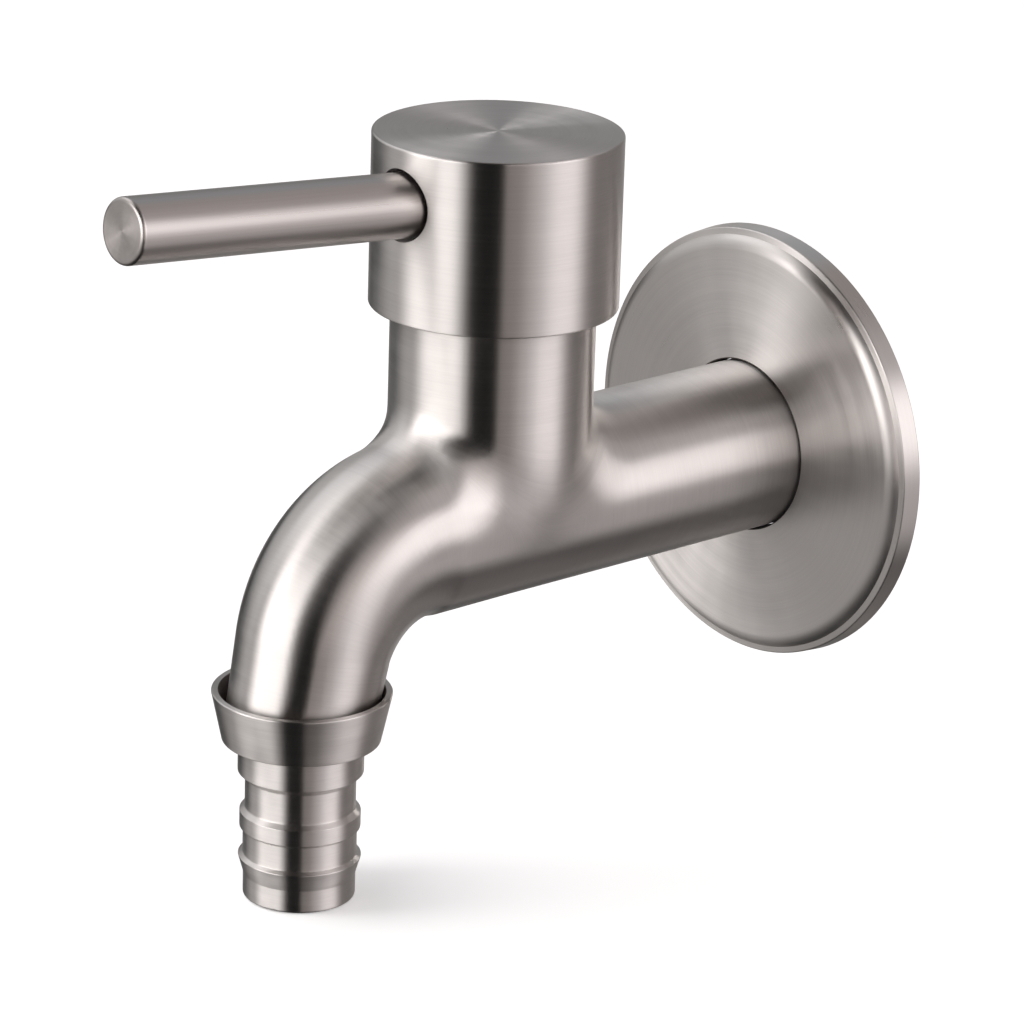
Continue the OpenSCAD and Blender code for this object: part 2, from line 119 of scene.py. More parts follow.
def turn_outwards(mesh):
    """Turns the faces of a closed mesh so that its volume is positive."""
    shell = bmesh.new()
    shell.from_mesh(mesh)
    if shell.calc_volume(signed=True) < 0:
        bmesh.ops.reverse_faces(shell, faces=shell.faces)
    shell.to_mesh(mesh)
    shell.free()


def smooth(mesh, crease_degrees=30):
    mesh.shade_smooth()
    mesh.set_sharp_from_angle(angle=math.radians(crease_degrees))


def dress(obj, material, body, node):
    """Gives a finished piece its material, its body and the node it stands for."""
    obj.data.materials.clear()
    obj.data.materials.append(material)
    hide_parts(node)
    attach(obj, body)


def dress_part(obj, material, chosen):
    """Gives the faces for which chosen(middle, normal) holds a second material."""
    obj.data.materials.append(material)
    index = len(obj.data.materials) - 1
    for face in obj.data.polygons:
        if chosen(face.center, face.normal):
            face.material_index = index


def axis_matrix(point, axis):
    """Moves a shape drawn along +Z to a point and an axis."""
    return Matrix.Translation(point) @ Vector(axis).to_track_quat("Z", "Y").to_matrix().to_4x4()


# Turned pieces: a profile of radius and height, swept round an axis by Geometry Nodes

def rounded(corners, longest):
    """Rounds a closed profile. Each corner is (radius, height, rounding) in millimetres. A stretch longer
    than the longest step is divided, except along the axis."""
    steps = 6
    support = 0.05
    points = []
    for i, (r, z, size) in enumerate(corners):
        here = np.array([r, z], float)
        if size <= 0:
            points.append(here)
            continue
        back = np.array(corners[i - 1][:2], float) - here
        ahead = np.array(corners[(i + 1) % len(corners)][:2], float) - here
        a = back / np.linalg.norm(back)
        b = ahead / np.linalg.norm(ahead)
        half = math.acos(float(np.clip(a @ b, -1, 1))) / 2
        reach = size / math.tan(half)
        centre = here + (a + b) / np.linalg.norm(a + b) * size / math.sin(half)
        first = here + a * reach - centre
        last = here + b * reach - centre
        opening = math.acos(float(np.clip(first @ last / size ** 2, -1, 1)))
        points.append(here + a * (reach + support))
        for k in range(steps + 1):
            t = k / steps
            arc = (first * math.sin((1 - t) * opening) + last * math.sin(t * opening)) / math.sin(opening)
            points.append(centre + arc)
        points.append(here + b * (reach + support))
    divided = []
    for point, following in zip(points, points[1:] + points[:1]):
        on_axis = point[0] < TINY and following[0] < TINY
        pieces = 1 if on_axis else max(1, math.ceil(np.linalg.norm(following - point) / longest))
        divided += [point + (following - point) * k / pieces for k in range(pieces)]
    return divided


def new_geometry_tree(name, inputs):
    """Geometry Nodes tree with inputs for a geometry, for these named values and for a material."""
    tree = bpy.data.node_groups.new(name, "GeometryNodeTree")
    face = tree.interface
    face.new_socket("Geometry", in_out="INPUT", socket_type="NodeSocketGeometry")
    for each, value in inputs.items():
        kind = "NodeSocketInt" if isinstance(value, int) else "NodeSocketFloat"
        face.new_socket(each, in_out="INPUT", socket_type=kind).default_value = value
    face.new_socket("Material", in_out="INPUT", socket_type="NodeSocketMaterial")
    face.new_socket("Geometry", in_out="OUTPUT", socket_type="NodeSocketGeometry")
    return tree, add(tree, "NodeGroupInput")


def end_tree(tree, start, geometry):
    """Ends the tree with real geometry in the material of its input."""
    real = add(tree, "GeometryNodeRealizeInstances", {"Geometry": geometry})
    coloured = add(tree, "GeometryNodeSetMaterial",
                   {"Geometry": real.outputs["Geometry"], "Material": start.outputs["Material"]})
    add(tree, "NodeGroupOutput", {"Geometry": coloured.outputs["Geometry"]})
    return tree


def turning_tree():
    """Geometry Nodes tree that sweeps a profile, drawn as a line of edges in X and Y, round the Z axis."""
    tree, start = new_geometry_tree("turned_piece", {"Segments": 192})
    # The profile is moved in by the path's own radius, so that it may touch the axis.
    path_radius = 20 * MM
    path = add(tree, "GeometryNodeCurvePrimitiveCircle",
               {"Resolution": start.outputs["Segments"], "Radius": path_radius})
    upright = add(tree, "GeometryNodeSetCurveNormal", {"Curve": path.outputs["Curve"]}, mode="Z_UP")
    line = add(tree, "GeometryNodeMeshToCurve", {"Mesh": start.outputs["Geometry"]})
    inwards = add(tree, "GeometryNodeTransform", {
        "Geometry": line.outputs["Curve"], "Translation": (-path_radius, 0, 0), "Scale": (1, -1, 1)})
    swept = add(tree, "GeometryNodeCurveToMesh",
                {"Curve": upright.outputs["Curve"], "Profile Curve": inwards.outputs["Geometry"]})
    seam = 0.001 * MM
    merged = add(tree, "GeometryNodeMergeByDistance", {"Geometry": swept.outputs["Mesh"], "Distance": seam})
    return end_tree(tree, start, merged.outputs["Geometry"])


def set_inputs(modifier, **values):
    """Sets a Geometry Nodes modifier's inputs by the identifiers of the sockets with these names."""
    sockets = {s.name: s.identifier for s in modifier.node_group.interface.items_tree
               if s.item_type == "SOCKET" and s.in_out == "INPUT"}
    for name, value in values.items():
        modifier[sockets[name.replace("_", " ")]] = value


def turned(name, corners, point, axis, segments=192, longest=1.5):
    """A turned piece in place. Its corners are (radius, height, rounding) in millimetres, with the height
    measured from the point along the axis."""
    points = rounded(corners, longest)
    mesh = bpy.data.meshes.new(name)
    count = len(points)
    edges = [(i, (i + 1) % count) for i in range(count)]
    edges = [(a, b) for a, b in edges if points[a][0] > 0 or points[b][0] > 0]
    mesh.from_pydata([(p[0] * MM, p[1] * MM, 0) for p in points], edges, [])
    obj = link_mesh(name, mesh)
    modifier = obj.modifiers.new("turned", "NODES")
    modifier.node_group = bpy.data.node_groups.get("turned_piece") or turning_tree()
    set_inputs(modifier, Segments=segments)
    bake_modifiers(obj)
    turn_outwards(obj.data)
    obj.data.transform(axis_matrix(point, axis))
    smooth(obj.data)
    return obj


def cut(obj, *cutters):
    """Takes closed cutters out of a closed piece and deletes them."""
    for cutter in cutters:
        modifier = obj.modifiers.new(cutter.name, "BOOLEAN")
        modifier.operation = "DIFFERENCE"
        modifier.solver = "EXACT"
        modifier.object = cutter
    bake_modifiers(obj)
    for cutter in cutters:
        mesh = cutter.data
        bpy.data.objects.remove(cutter)
        bpy.data.meshes.remove(mesh)


# Sizes and colours that a user would change

def length(name, description, millimetres):
    """A length that a user can change."""
    return FloatProperty(name=name, description=description, default=millimetres * MM, unit="LENGTH")


def angle(name, description, degrees):
    """An angle that a user can change."""
    return FloatProperty(name=name, description=description, default=math.radians(degrees), subtype="ANGLE")


def colour(name, description, hex_colour):
    """A colour that a user can change."""
    return FloatVectorProperty(name=name, description=description, subtype="COLOR", size=4,
                               default=linear(hex_colour), min=0, max=1)


class BibTapSizes(bpy.types.PropertyGroup):
    """Sizes of the pieces that the scene draws itself. They repeat the sizes of the part's source."""
    tube_radius: length("Tube radius", "Outside radius of the horizontal tube", 12.6)
    column_reach: length("Column reach", "Distance from the wall to the valve column's axis", 54.5)
    neck_radius: length("Neck radius", "Outside radius of the valve column", 14.5)
    neck_top: length("Neck top", "Height of the column's upper end", 33.4)
    blend_radius: length("Blend radius", "Radius of the blend on top of the tube", 5.0)
    bend_start: length("Bend start", "Distance from the wall to the start of the spout's bend", 68.7)
    bend_radius: length("Bend radius", "Radius of the bend's centreline", 17.6)
    bend_angle: angle("Bend angle", "Angle that the spout turns through", 78.3)
    outlet_radius: length("Outlet radius", "Outside radius where the bend ends", 10.9)
    tip_radius: length("Tip radius", "Outside radius at the spout's tip", 10.55)
    tip_drop: length("Tip drop", "Depth of the tip below the inlet's axis", 22.6)
    cap_radius: length("Cap radius", "Radius of the handle cap", 17.6)
    cap_bottom: length("Cap bottom", "Height of the cap's lower edge", 30.4)
    cap_height: length("Cap height", "Height of the handle cap", 24.8)
    lever_radius: length("Lever radius", "Radius of the lever", 4.57)
    lever_reach: length("Lever reach", "Distance from the column's axis to the lever's tip", 64.8)
    lever_height: length("Lever height", "Height at which the lever's axis meets the column's", 45.8)
    lever_tilt: angle("Lever tilt", "Upward tilt of the lever", 4.75)
    lever_gap: length("Lever gap", "Gap round the lever where it enters the cap", 0.55)
    flange_radius: length("Flange radius", "Radius of the wall flange", 32.5)
    thread_pitch: length("Thread pitch", "Pitch of the inlet's pipe thread", 1.814)


class BibTapLooks(bpy.types.PropertyGroup):
    """Colours of the finishes and fineness of the meshes."""
    steel: colour("Stainless steel", "Colour of the brushed steel", "#DCD8D5")
    lever_steel: colour("Lever steel", "Colour of the lever, left a little duller than the rest", "#BFBAB7")
    brass: colour("Brass", "Colour of the turned brass", "#D9B06A")
    rubber: colour("Rubber", "Colour of the sealing rings", "#1B1B1C")
    skin_step: length("Skin step", "Grid step of the body's skin", 0.5)
    round_segments: IntProperty(name="Round segments", description="Segments round the large turned pieces",
                                default=256, min=48, max=512)


# Inner sizes that several pieces share, in millimetres, the same as in the part's source
WATERWAY_RADIUS = 6.5
NIPPLE_RADIUS = 9.5
PLUG_RADIUS = 8.0
FIT_GAP = 0.05
SHANK_RADIUS = 3.0


def sizes():
    return bpy.context.scene.bib_tap_sizes


def looks():
    return bpy.context.scene.bib_tap_looks


def column_point(height=0.0):
    return Vector((0, -sizes().column_reach, height))


def lever_axis():
    tilt = sizes().lever_tilt
    return Vector((0, -math.cos(tilt), math.sin(tilt)))


def bend_end():
    """Where the spout's bend ends: its distance from the wall and its drop below the inlet's axis."""
    s = sizes()
    return (s.bend_start + s.bend_radius * math.sin(s.bend_angle),
            s.bend_radius * (1 - math.cos(s.bend_angle)))


def tail_distance():
    """Distance from the wall to the hose tail's axis."""
    s = sizes()
    end_distance, end_drop = bend_end()
    return end_distance + (s.tip_drop - end_drop) / math.tan(s.bend_angle)


# Body: one skin from distances to the arm and to the column, with a rolling-ball blend between them

def smooth_share(value, low, high):
    t = np.clip((value - low) / (high - low), 0, 1)
    return t * t * (3 - 2 * t)


def arm_place(points):
    """For points in metres: distance along the arm's centreline, offset from it, and the arm's radius."""
    s = sizes()
    swell = 0.1 * MM
    end_angle = s.bend_angle
    end_distance, end_drop = bend_end()
    end_y = -end_distance
    end_z = -end_drop
    lean = np.array([0, -math.cos(end_angle), -math.sin(end_angle)])
    lean_length = (s.tip_drop + end_z) / math.sin(end_angle)
    y = points[:, 1] + s.bend_start
    z = points[:, 2] + s.bend_radius
    turn = np.arctan2(-y, z)
    on_arc = np.clip(turn, 0, end_angle)
    centre = np.zeros_like(points)
    centre[:, 1] = -s.bend_start - s.bend_radius * np.sin(on_arc)
    centre[:, 2] = -s.bend_radius * (1 - np.cos(on_arc))
    along = s.bend_start + s.bend_radius * on_arc
    straight = y > 0
    centre[straight, 1] = points[straight, 1]
    centre[straight, 2] = 0
    along[straight] = -points[straight, 1]
    past = (turn > end_angle) & ~straight
    run = (points[past] - [0, end_y, end_z]) @ lean
    centre[past] = np.array([0, end_y, end_z]) + run[:, None] * lean
    arc_end = s.bend_start + s.bend_radius * end_angle
    along[past] = arc_end + run
    radius = np.interp(along, [s.column_reach, s.bend_start, arc_end, arc_end + lean_length],
                       [s.tube_radius, s.tube_radius + swell, s.outlet_radius, s.tip_radius])
    return along, points - centre, radius


def column_place(points):
    """Distance of each point from the column's skin, and the direction away from it.
    Below the turn the column draws in along an ellipse and vanishes inside the tube."""
    s = sizes()
    turn_z = 12 * MM
    low_z = -6 * MM
    low_r = 6.5 * MM
    flat = points - [0, -s.column_reach, 0]
    flat[:, 2] = 0
    r = np.maximum(np.linalg.norm(flat, axis=1), TINY)
    radial = flat / r[:, None]
    side = np.maximum(r - low_r, 0)
    wide = s.neck_radius - low_r
    deep = turn_z - low_z
    drop = np.minimum(points[:, 2] - turn_z, 0)
    level = np.sqrt((side / wide) ** 2 + (drop / deep) ** 2)
    slope_r = side / wide ** 2 / np.maximum(level, TINY)
    slope_z = drop / deep ** 2 / np.maximum(level, TINY)
    steepness = np.maximum(np.hypot(slope_r, slope_z), TINY)
    below = points[:, 2] < turn_z
    distance = np.where(below, (level - 1) / steepness, r - s.neck_radius)
    away = radial.copy()
    away[below] = (radial * (slope_r / steepness)[:, None])[below]
    away[below, 2] = (slope_z / steepness)[below]
    return distance, away


def sharp_body_distance(points):
    """Signed distance to the body's outer skin, with the ball that rolls between the arm and the column.
    The ball is larger at the tube's sides than on its top, and shrinks to almost nothing below the tube's
    middle."""
    s = sizes()
    side_to_top = 3
    least_ball = 0.2 * MM
    fade_low = -4 * MM
    fade_high = 3 * MM
    widest = -0.9
    narrowest = 0.9995
    offset, radius = arm_place(points)[1:]
    length_out = np.maximum(np.linalg.norm(offset, axis=1), TINY)
    arm = length_out - radius
    arm_away = offset / length_out[:, None]
    column, column_away = column_place(points)
    height_share = np.clip(offset[:, 2] / length_out, 0, 1)
    growth = side_to_top - (side_to_top - 1) * height_share
    ball = s.blend_radius * growth * smooth_share(points[:, 2], fade_low, fade_high) + least_ball
    cosine = np.clip((arm_away * column_away).sum(1), widest, narrowest)
    sine2 = 1 - cosine ** 2
    a = arm - ball
    b = column - ball
    towards_arm = (a - b * cosine) / sine2
    towards_column = (b - a * cosine) / sine2
    gap = np.sqrt(np.maximum(a * a + b * b - 2 * a * b * cosine, 0) / sine2)
    in_blend = (towards_arm < 0) & (towards_column < 0)
    return np.where(in_blend, ball - gap, np.minimum(arm, column))


def body_distance(points):
    """The body's distance after the belt has evened out the tee: near the column's foot each distance is
    the mean of those on a small ball round the point."""
    s = sizes()
    tee_height = 4 * MM
    tee_flatness = 0.75
    evened_to = 15 * MM
    sharp_from = 24 * MM
    skin_band = 3 * MM
    reach = 2.6 * MM
    distance = sharp_body_distance(points)
    from_tee = np.linalg.norm((points - [0, -s.column_reach, tee_height]) / [1, 1, tee_flatness], axis=1)
    share = 1 - smooth_share(from_tee, evened_to, sharp_from)
    near = (share > 0) & (np.abs(distance) < skin_band)
    own = distance[near].copy()
    # The ball's points lie towards the faces and the corners of a cube.
    ways = [np.array(w, float) for w in np.ndindex(3, 3, 3)]
    ways = [(w - 1) / np.linalg.norm(w - 1) for w in ways if np.abs(w - 1).sum() in (1, 3)]
    mean = sum(sharp_body_distance(points[near] + w * reach) for w in ways) / len(ways)
    # On a plain tube the mean lies this much above the distance itself.
    lift = reach ** 2 / (6 * s.tube_radius)
    distance[near] = own + (mean - lift - own) * share[near]
    return distance


def slope(distance, points):
    """Gradient of a distance by central differences."""
    h = 0.01 * MM
    out = np.zeros_like(points)
    for axis in range(3):
        step = np.zeros(3)
        step[axis] = h
        out[:, axis] = (distance(points + step) - distance(points - step)) / (2 * h)
    return out


def skin_of(distance, low, high, step):
    """Points and four-sided faces of the surface where a distance is zero, one point in each crossed cell."""
    axes = [np.arange(low[i], high[i] + step, step) for i in range(3)]
    shape = tuple(len(a) for a in axes)
    grid = np.stack(np.meshgrid(*axes, indexing="ij"), -1)
    value = distance(grid.reshape(-1, 3)).reshape(shape)
    cells = tuple(n - 1 for n in shape)
    origin = grid[:-1, :-1, :-1]

    def corner(i, j, k):
        return value[i:i + cells[0], j:j + cells[1], k:k + cells[2]]

    inside = sum((corner(i, j, k) < 0).astype(int) for i in (0, 1) for j in (0, 1) for k in (0, 1))
    crossed = (inside > 0) & (inside < 8)
    total = np.zeros(crossed.sum())
    place = np.zeros((crossed.sum(), 3))
    for axis in range(3):
        for u in (0, 1):
            for v in (0, 1):
                near = [u, v]
                near.insert(axis, 0)
                far = list(near)
                far[axis] = 1
                a = corner(*near)[crossed]
                b = corner(*far)[crossed]
                cross = (a < 0) != (b < 0)
                share = np.where(cross, a / np.where(cross, a - b, 1), 0)
                spot = origin[crossed] + np.array(near) * step
                spot[:, axis] += share * step
                place += np.where(cross[:, None], spot, 0)
                total += cross
    place /= total[:, None]
    index = np.full(cells, -1)
    index[crossed] = np.arange(len(place))
    faces = []
    for axis in range(3):
        u, v = [d for d in range(3) if d != axis]
        first = [slice(1, n - 1) for n in shape]
        first[axis] = slice(0, shape[axis] - 1)
        second = list(first)
        second[axis] = slice(1, shape[axis])
        a = value[tuple(first)] < 0
        b = value[tuple(second)] < 0
        spots = np.argwhere(a != b)
        leaves = a[tuple(spots.T)]
        base = spots.copy()
        base[:, u] += 1
        base[:, v] += 1

        def cell(du, dv):
            spot = base.copy()
            spot[:, u] -= du
            spot[:, v] -= dv
            return index[tuple(spot.T)]

        loop = np.stack([cell(1, 1), cell(0, 1), cell(0, 0), cell(1, 0)], 1)
        turned_round = leaves if axis != 1 else ~leaves
        loop[~turned_round] = loop[~turned_round][:, ::-1]
        faces.append(loop)
    return place, np.concatenate(faces)


def swept_tube(name, stations, radius):
    """A closed tube through stations of (point, direction) in the YZ plane."""
    sides = 96
    rings = []
    for point, direction in stations:
        across = Vector((1, 0, 0))
        other = Vector(direction).cross(across).normalized()
        rings.append([Vector(point) + radius * (math.cos(t) * across + math.sin(t) * other)
                      for t in [2 * math.pi * i / sides for i in range(sides)]])
    mesh = bpy.data.meshes.new(name)
    verts = [tuple(v) for ring in rings for v in ring]
    faces = []
    for j in range(len(rings) - 1):
        here = j * sides
        ahead = here + sides
        for i in range(sides):
            following = (i + 1) % sides
            faces.append((here + i, here + following, ahead + following, ahead + i))
    faces.append(tuple(range(sides)))
    faces.append(tuple(range((len(rings) - 1) * sides, len(rings) * sides)))
    mesh.from_pydata(verts, [], faces)
    shell = bmesh.new()
    shell.from_mesh(mesh)
    bmesh.ops.recalc_face_normals(shell, faces=shell.faces)
    shell.to_mesh(mesh)
    shell.free()
    turn_outwards(mesh)
    return link_mesh(name, mesh)


def body_cutters():
    """The waterways, the threaded bore and the three cut ends, as closed shapes. Sizes in millimetres."""
    s = sizes()

    def cutter(name, corners, point, axis, segments=96):
        return turned(name, [(*c, 0) for c in corners], point, axis, segments=segments, longest=100)

    # The cutters reach past the skin by these lengths.
    clear = 20
    past_inlet = -6
    past_top = 6
    past_tip = 7
    tube_end = 1
    socket_end = 12.2
    waterway_end = 60
    socket_radius = NIPPLE_RADIUS + FIT_GAP
    inlet = cutter("inlet_cutter", [
        (0, waterway_end), (0, past_inlet), (clear, past_inlet), (clear, tube_end), (socket_radius, tube_end),
        (socket_radius, socket_end), (WATERWAY_RADIUS, socket_end), (WATERWAY_RADIUS, waterway_end)],
        WALL_POINT, TO_ROOM)

    top = s.neck_top / MM
    seat_hole = 5.5
    seat_height = 9
    chamber_radius = 9.6
    thread_bottom = 22.02
    thread_radius = 10.5275
    column = cutter("column_cutter", [
        (0, 0), (seat_hole, 0), (seat_hole, seat_height), (chamber_radius, seat_height),
        (chamber_radius, thread_bottom), (thread_radius, thread_bottom), (thread_radius, top), (clear, top),
        (clear, top + past_top), (0, top + past_top)], column_point(), UP)

    # Groove for the ring that centres the cap
    ring_radius = 13.4
    ring_clear = 15.5
    ring_low = top - 2
    ring_high = top - 0.4
    groove = cutter("groove_cutter", [
        (ring_radius, ring_low), (ring_clear, ring_low), (ring_clear, ring_high), (ring_radius, ring_high)],
        column_point(), UP)

    tip = -s.tip_drop / MM
    start = -bend_end()[1] / MM
    plug_bore = PLUG_RADIUS + FIT_GAP
    tail = cutter("tail_cutter", [
        (0, start), (0, tip - past_tip), (clear, tip - past_tip), (clear, tip), (plug_bore, tip),
        (plug_bore, start)], Vector((0, -tail_distance(), 0)), UP)

    bend_bore = 7.2 * MM
    bore_start = 65.2 * MM
    bore_run_out = 2 * MM
    bend_steps = 24
    stations = [((0, -bore_start, 0), (0, -1, 0))]
    for k in range(bend_steps + 1):
        turn = s.bend_angle * k / bend_steps
        stations.append(((0, -s.bend_start - s.bend_radius * math.sin(turn),
                          -s.bend_radius * (1 - math.cos(turn))), (0, -math.cos(turn), -math.sin(turn))))
    last_point, last_way = (Vector(v) for v in stations[-1])
    stations.append((tuple(last_point + last_way * bore_run_out), tuple(last_way)))
    bend = swept_tube("bend_cutter", stations, bend_bore)

    # Two slanted holes lead the water from the valve's chamber to the bent bore.
    drill_radius = 3.6
    drill_length = 19.62
    drill_side = 3
    drill_ahead = 5 * MM
    drill_top = 17.2 * MM
    drill_way = Vector((0, -13, -14.7)).normalized()
    drills = []
    for x in (-drill_side, drill_side):
        drill_start = Vector((x * MM, -s.column_reach - drill_ahead, drill_top))
        drills.append(cutter(f"drill_cutter_{x + drill_side}", [
            (0, 0), (drill_radius, 0), (drill_radius, drill_length), (0, drill_length)],
            drill_start, drill_way, segments=64))
    return [inlet, column, groove, tail, bend, *drills]


def write_vectors(mesh, name, values):
    layer = mesh.attributes.new(name, "FLOAT_VECTOR", "POINT")
    layer.data.foreach_set("vector", np.asarray(values, np.float32).ravel())


def mark_body_grain(mesh):
    """Stores where each point lies along and round the arm and the column, and which way the belt ran."""
    s = sizes()
    side_shift = 3 * MM
    top_zone = 1
    side_zone = 4
    count = len(mesh.vertices)
    points = np.zeros(count * 3, np.float32)
    mesh.vertices.foreach_get("co", points)
    points = points.reshape(-1, 3).astype(float)
    along, offset, radius = arm_place(points)
    length_out = np.maximum(np.linalg.norm(offset, axis=1), TINY)
    tangent = np.zeros_like(points)
    bend = np.clip((along - s.bend_start) / s.bend_radius, 0, s.bend_angle)
    tangent[:, 1] = -np.cos(bend)
    tangent[:, 2] = -np.sin(bend)
    arm_round = np.cross(tangent, offset / length_out[:, None])
    from_column = points - [0, -s.column_reach, 0]
    reach = np.maximum(np.hypot(from_column[:, 0], from_column[:, 1]), TINY)
    cosine = from_column[:, 0] / reach
    sine = from_column[:, 1] / reach
    column_round = np.stack([-sine, cosine, np.zeros(count)], 1)
    # The arm's grain gives way to the column's where the two skins are equally far, and lower down at the
    # sides, where the change is also wider.
    side = np.abs(cosine)
    lead = (length_out - radius) - column_place(points)[0] - side_shift * side
    share = smooth_share(lead / ((top_zone + side_zone * side) * MM), -1, 1)
    turn = np.arctan2(offset[:, 0], (offset * np.cross(tangent, [1, 0, 0])).sum(1))
    write_vectors(mesh, "arm_place", np.stack([along / MM, np.cos(turn), np.sin(turn)], 1))
    write_vectors(mesh, "column_place", np.stack([points[:, 2] / MM, cosine, sine], 1))
    write_vectors(mesh, "arm_way", arm_round)
    write_vectors(mesh, "column_way", column_round)
    layer = mesh.attributes.new("column_share", "FLOAT", "POINT")
    layer.data.foreach_set("value", share.astype(np.float32))


def make_body():
    """The body's skin as a mesh, cut and smoothed."""
    s = sizes()
    step = looks().skin_step
    # The skin runs on past the cut ends, and the grid reaches past the skin.
    past_end = 2 * MM
    past_tip = 3 * MM
    half_width = 17 * MM
    low = np.array([-half_width, -tail_distance() - 14 * MM, -s.tip_drop - 5 * MM])
    high = np.array([half_width, 4 * MM, s.neck_top + 4 * MM])

    def closed_distance(points):
        """The skin's distance, closed by flat ends past each cut."""
        ends = np.maximum.reduce([points[:, 1] - past_end, points[:, 2] - s.neck_top - past_end,
                                  -s.tip_drop - past_tip - points[:, 2]])
        return np.maximum(body_distance(points), ends)

    points, faces = skin_of(closed_distance, low, high, step)
    on_skin = closed_distance(points) - body_distance(points) < TINY
    # Each round moves the points along the slope onto the skin. Where it is nearly flat the move stays small.
    rounds = 3
    least_slope = 0.25
    for _ in range(rounds):
        away = slope(body_distance, points)
        move = body_distance(points)[:, None] * away / np.maximum((away ** 2).sum(1), least_slope)[:, None]
        points = np.where(on_skin[:, None], points - np.clip(move, -step, step), points)
    mesh = bpy.data.meshes.new("tap_body_skin")
    mesh.from_pydata(points.tolist(), [], faces.tolist())
    mesh.validate()
    turn_outwards(mesh)
    obj = link_mesh("tap_body_skin", mesh)
    cut(obj, *body_cutters())
    smooth(obj.data, crease_degrees=40)
    mark_body_grain(obj.data)
    return obj


# Finishes

def node_math(tree, operation, a, b=None, c=None):
    """One maths step on numbers or sockets."""
    node = add(tree, "ShaderNodeMath", operation=operation)
    for socket, value in zip(node.inputs, (a, b, c)):
        plug(tree, socket, value)
    return node.outputs[0]


def node_vector(tree, operation, a, b=None, scale=None):
    """One vector step. Gives the number for a dot product or a length, or else the vector."""
    node = add(tree, "ShaderNodeVectorMath", operation=operation)
    for socket, value in zip(node.inputs, (a, b)):
        plug(tree, socket, value)
    if scale is not None:
        plug(tree, node.inputs["Scale"], scale)
    return node.outputs["Value" if operation in ("DOT_PRODUCT", "LENGTH") else "Vector"]


def object_place(tree):
    return add(tree, "ShaderNodeTexCoord").outputs["Object"]


def mixed(tree, kind, factor, first, second):
    """A colour or a vector, of kind RGBA or VECTOR, that goes from the first to the second."""
    node = add(tree, "ShaderNodeMix", {"Factor": factor}, data_type=kind)
    ends = [i for i in node.inputs if i.type == kind and i.name in ("A", "B")]
    plug(tree, ends[0], first)
    plug(tree, ends[1], second)
    return [o for o in node.outputs if o.type == kind][0]


def stretched_noise(tree, across, cosine, sine, fine, round_scale, detail=2.0, shift=0.0):
    """Noise that is fine across the grain and long round the piece. It closes on itself after a full turn."""
    # Middle of the circle on which the noise is read
    middle_y = 3.37
    middle_z = 5.71
    place = add(tree, "ShaderNodeCombineXYZ", {
        "X": node_math(tree, "MULTIPLY_ADD", across, fine, shift),
        "Y": node_math(tree, "MULTIPLY_ADD", cosine, round_scale, middle_y),
        "Z": node_math(tree, "MULTIPLY_ADD", sine, round_scale, middle_z)})
    noise = add(tree, "ShaderNodeTexNoise", {
        "Vector": place.outputs["Vector"], "Scale": 1.0, "Detail": detail, "Roughness": 0.6},
        noise_dimensions="3D")
    return noise.outputs["Fac"]


def ranged(tree, noise, low, high):
    """Stretches the noise's middle part, where most of its values lie, to a new range."""
    node = add(tree, "ShaderNodeMapRange", {
        "Value": noise, "From Min": 0.3, "From Max": 0.7, "To Min": low, "To Max": high})
    return node.outputs["Result"]


def turned_place(tree, point, axis):
    """Coordinates on a turned piece: the distance across its grooves in millimetres, the cosine and sine
    of the angle round its axis, and the direction in which the tool ran."""
    axis = Vector(axis).normalized()
    frame_turn = axis.to_track_quat("Z", "Y").to_matrix()
    reach = node_vector(tree, "SUBTRACT", object_place(tree), tuple(point))
    height = node_vector(tree, "DOT_PRODUCT", reach, tuple(axis))
    along = node_vector(tree, "SCALE", tuple(axis), scale=height)
    flat = node_vector(tree, "SUBTRACT", reach, along)
    radius = node_vector(tree, "LENGTH", flat)
    outwards = node_vector(tree, "NORMALIZE", flat)
    cosine = node_vector(tree, "DOT_PRODUCT", outwards, tuple(frame_turn.col[0]))
    sine = node_vector(tree, "DOT_PRODUCT", outwards, tuple(frame_turn.col[1]))
    across = node_math(tree, "MULTIPLY", node_math(tree, "ADD", radius, height), 1 / MM)
    way = node_vector(tree, "CROSS_PRODUCT", tuple(axis), outwards)
    return across, cosine, sine, way


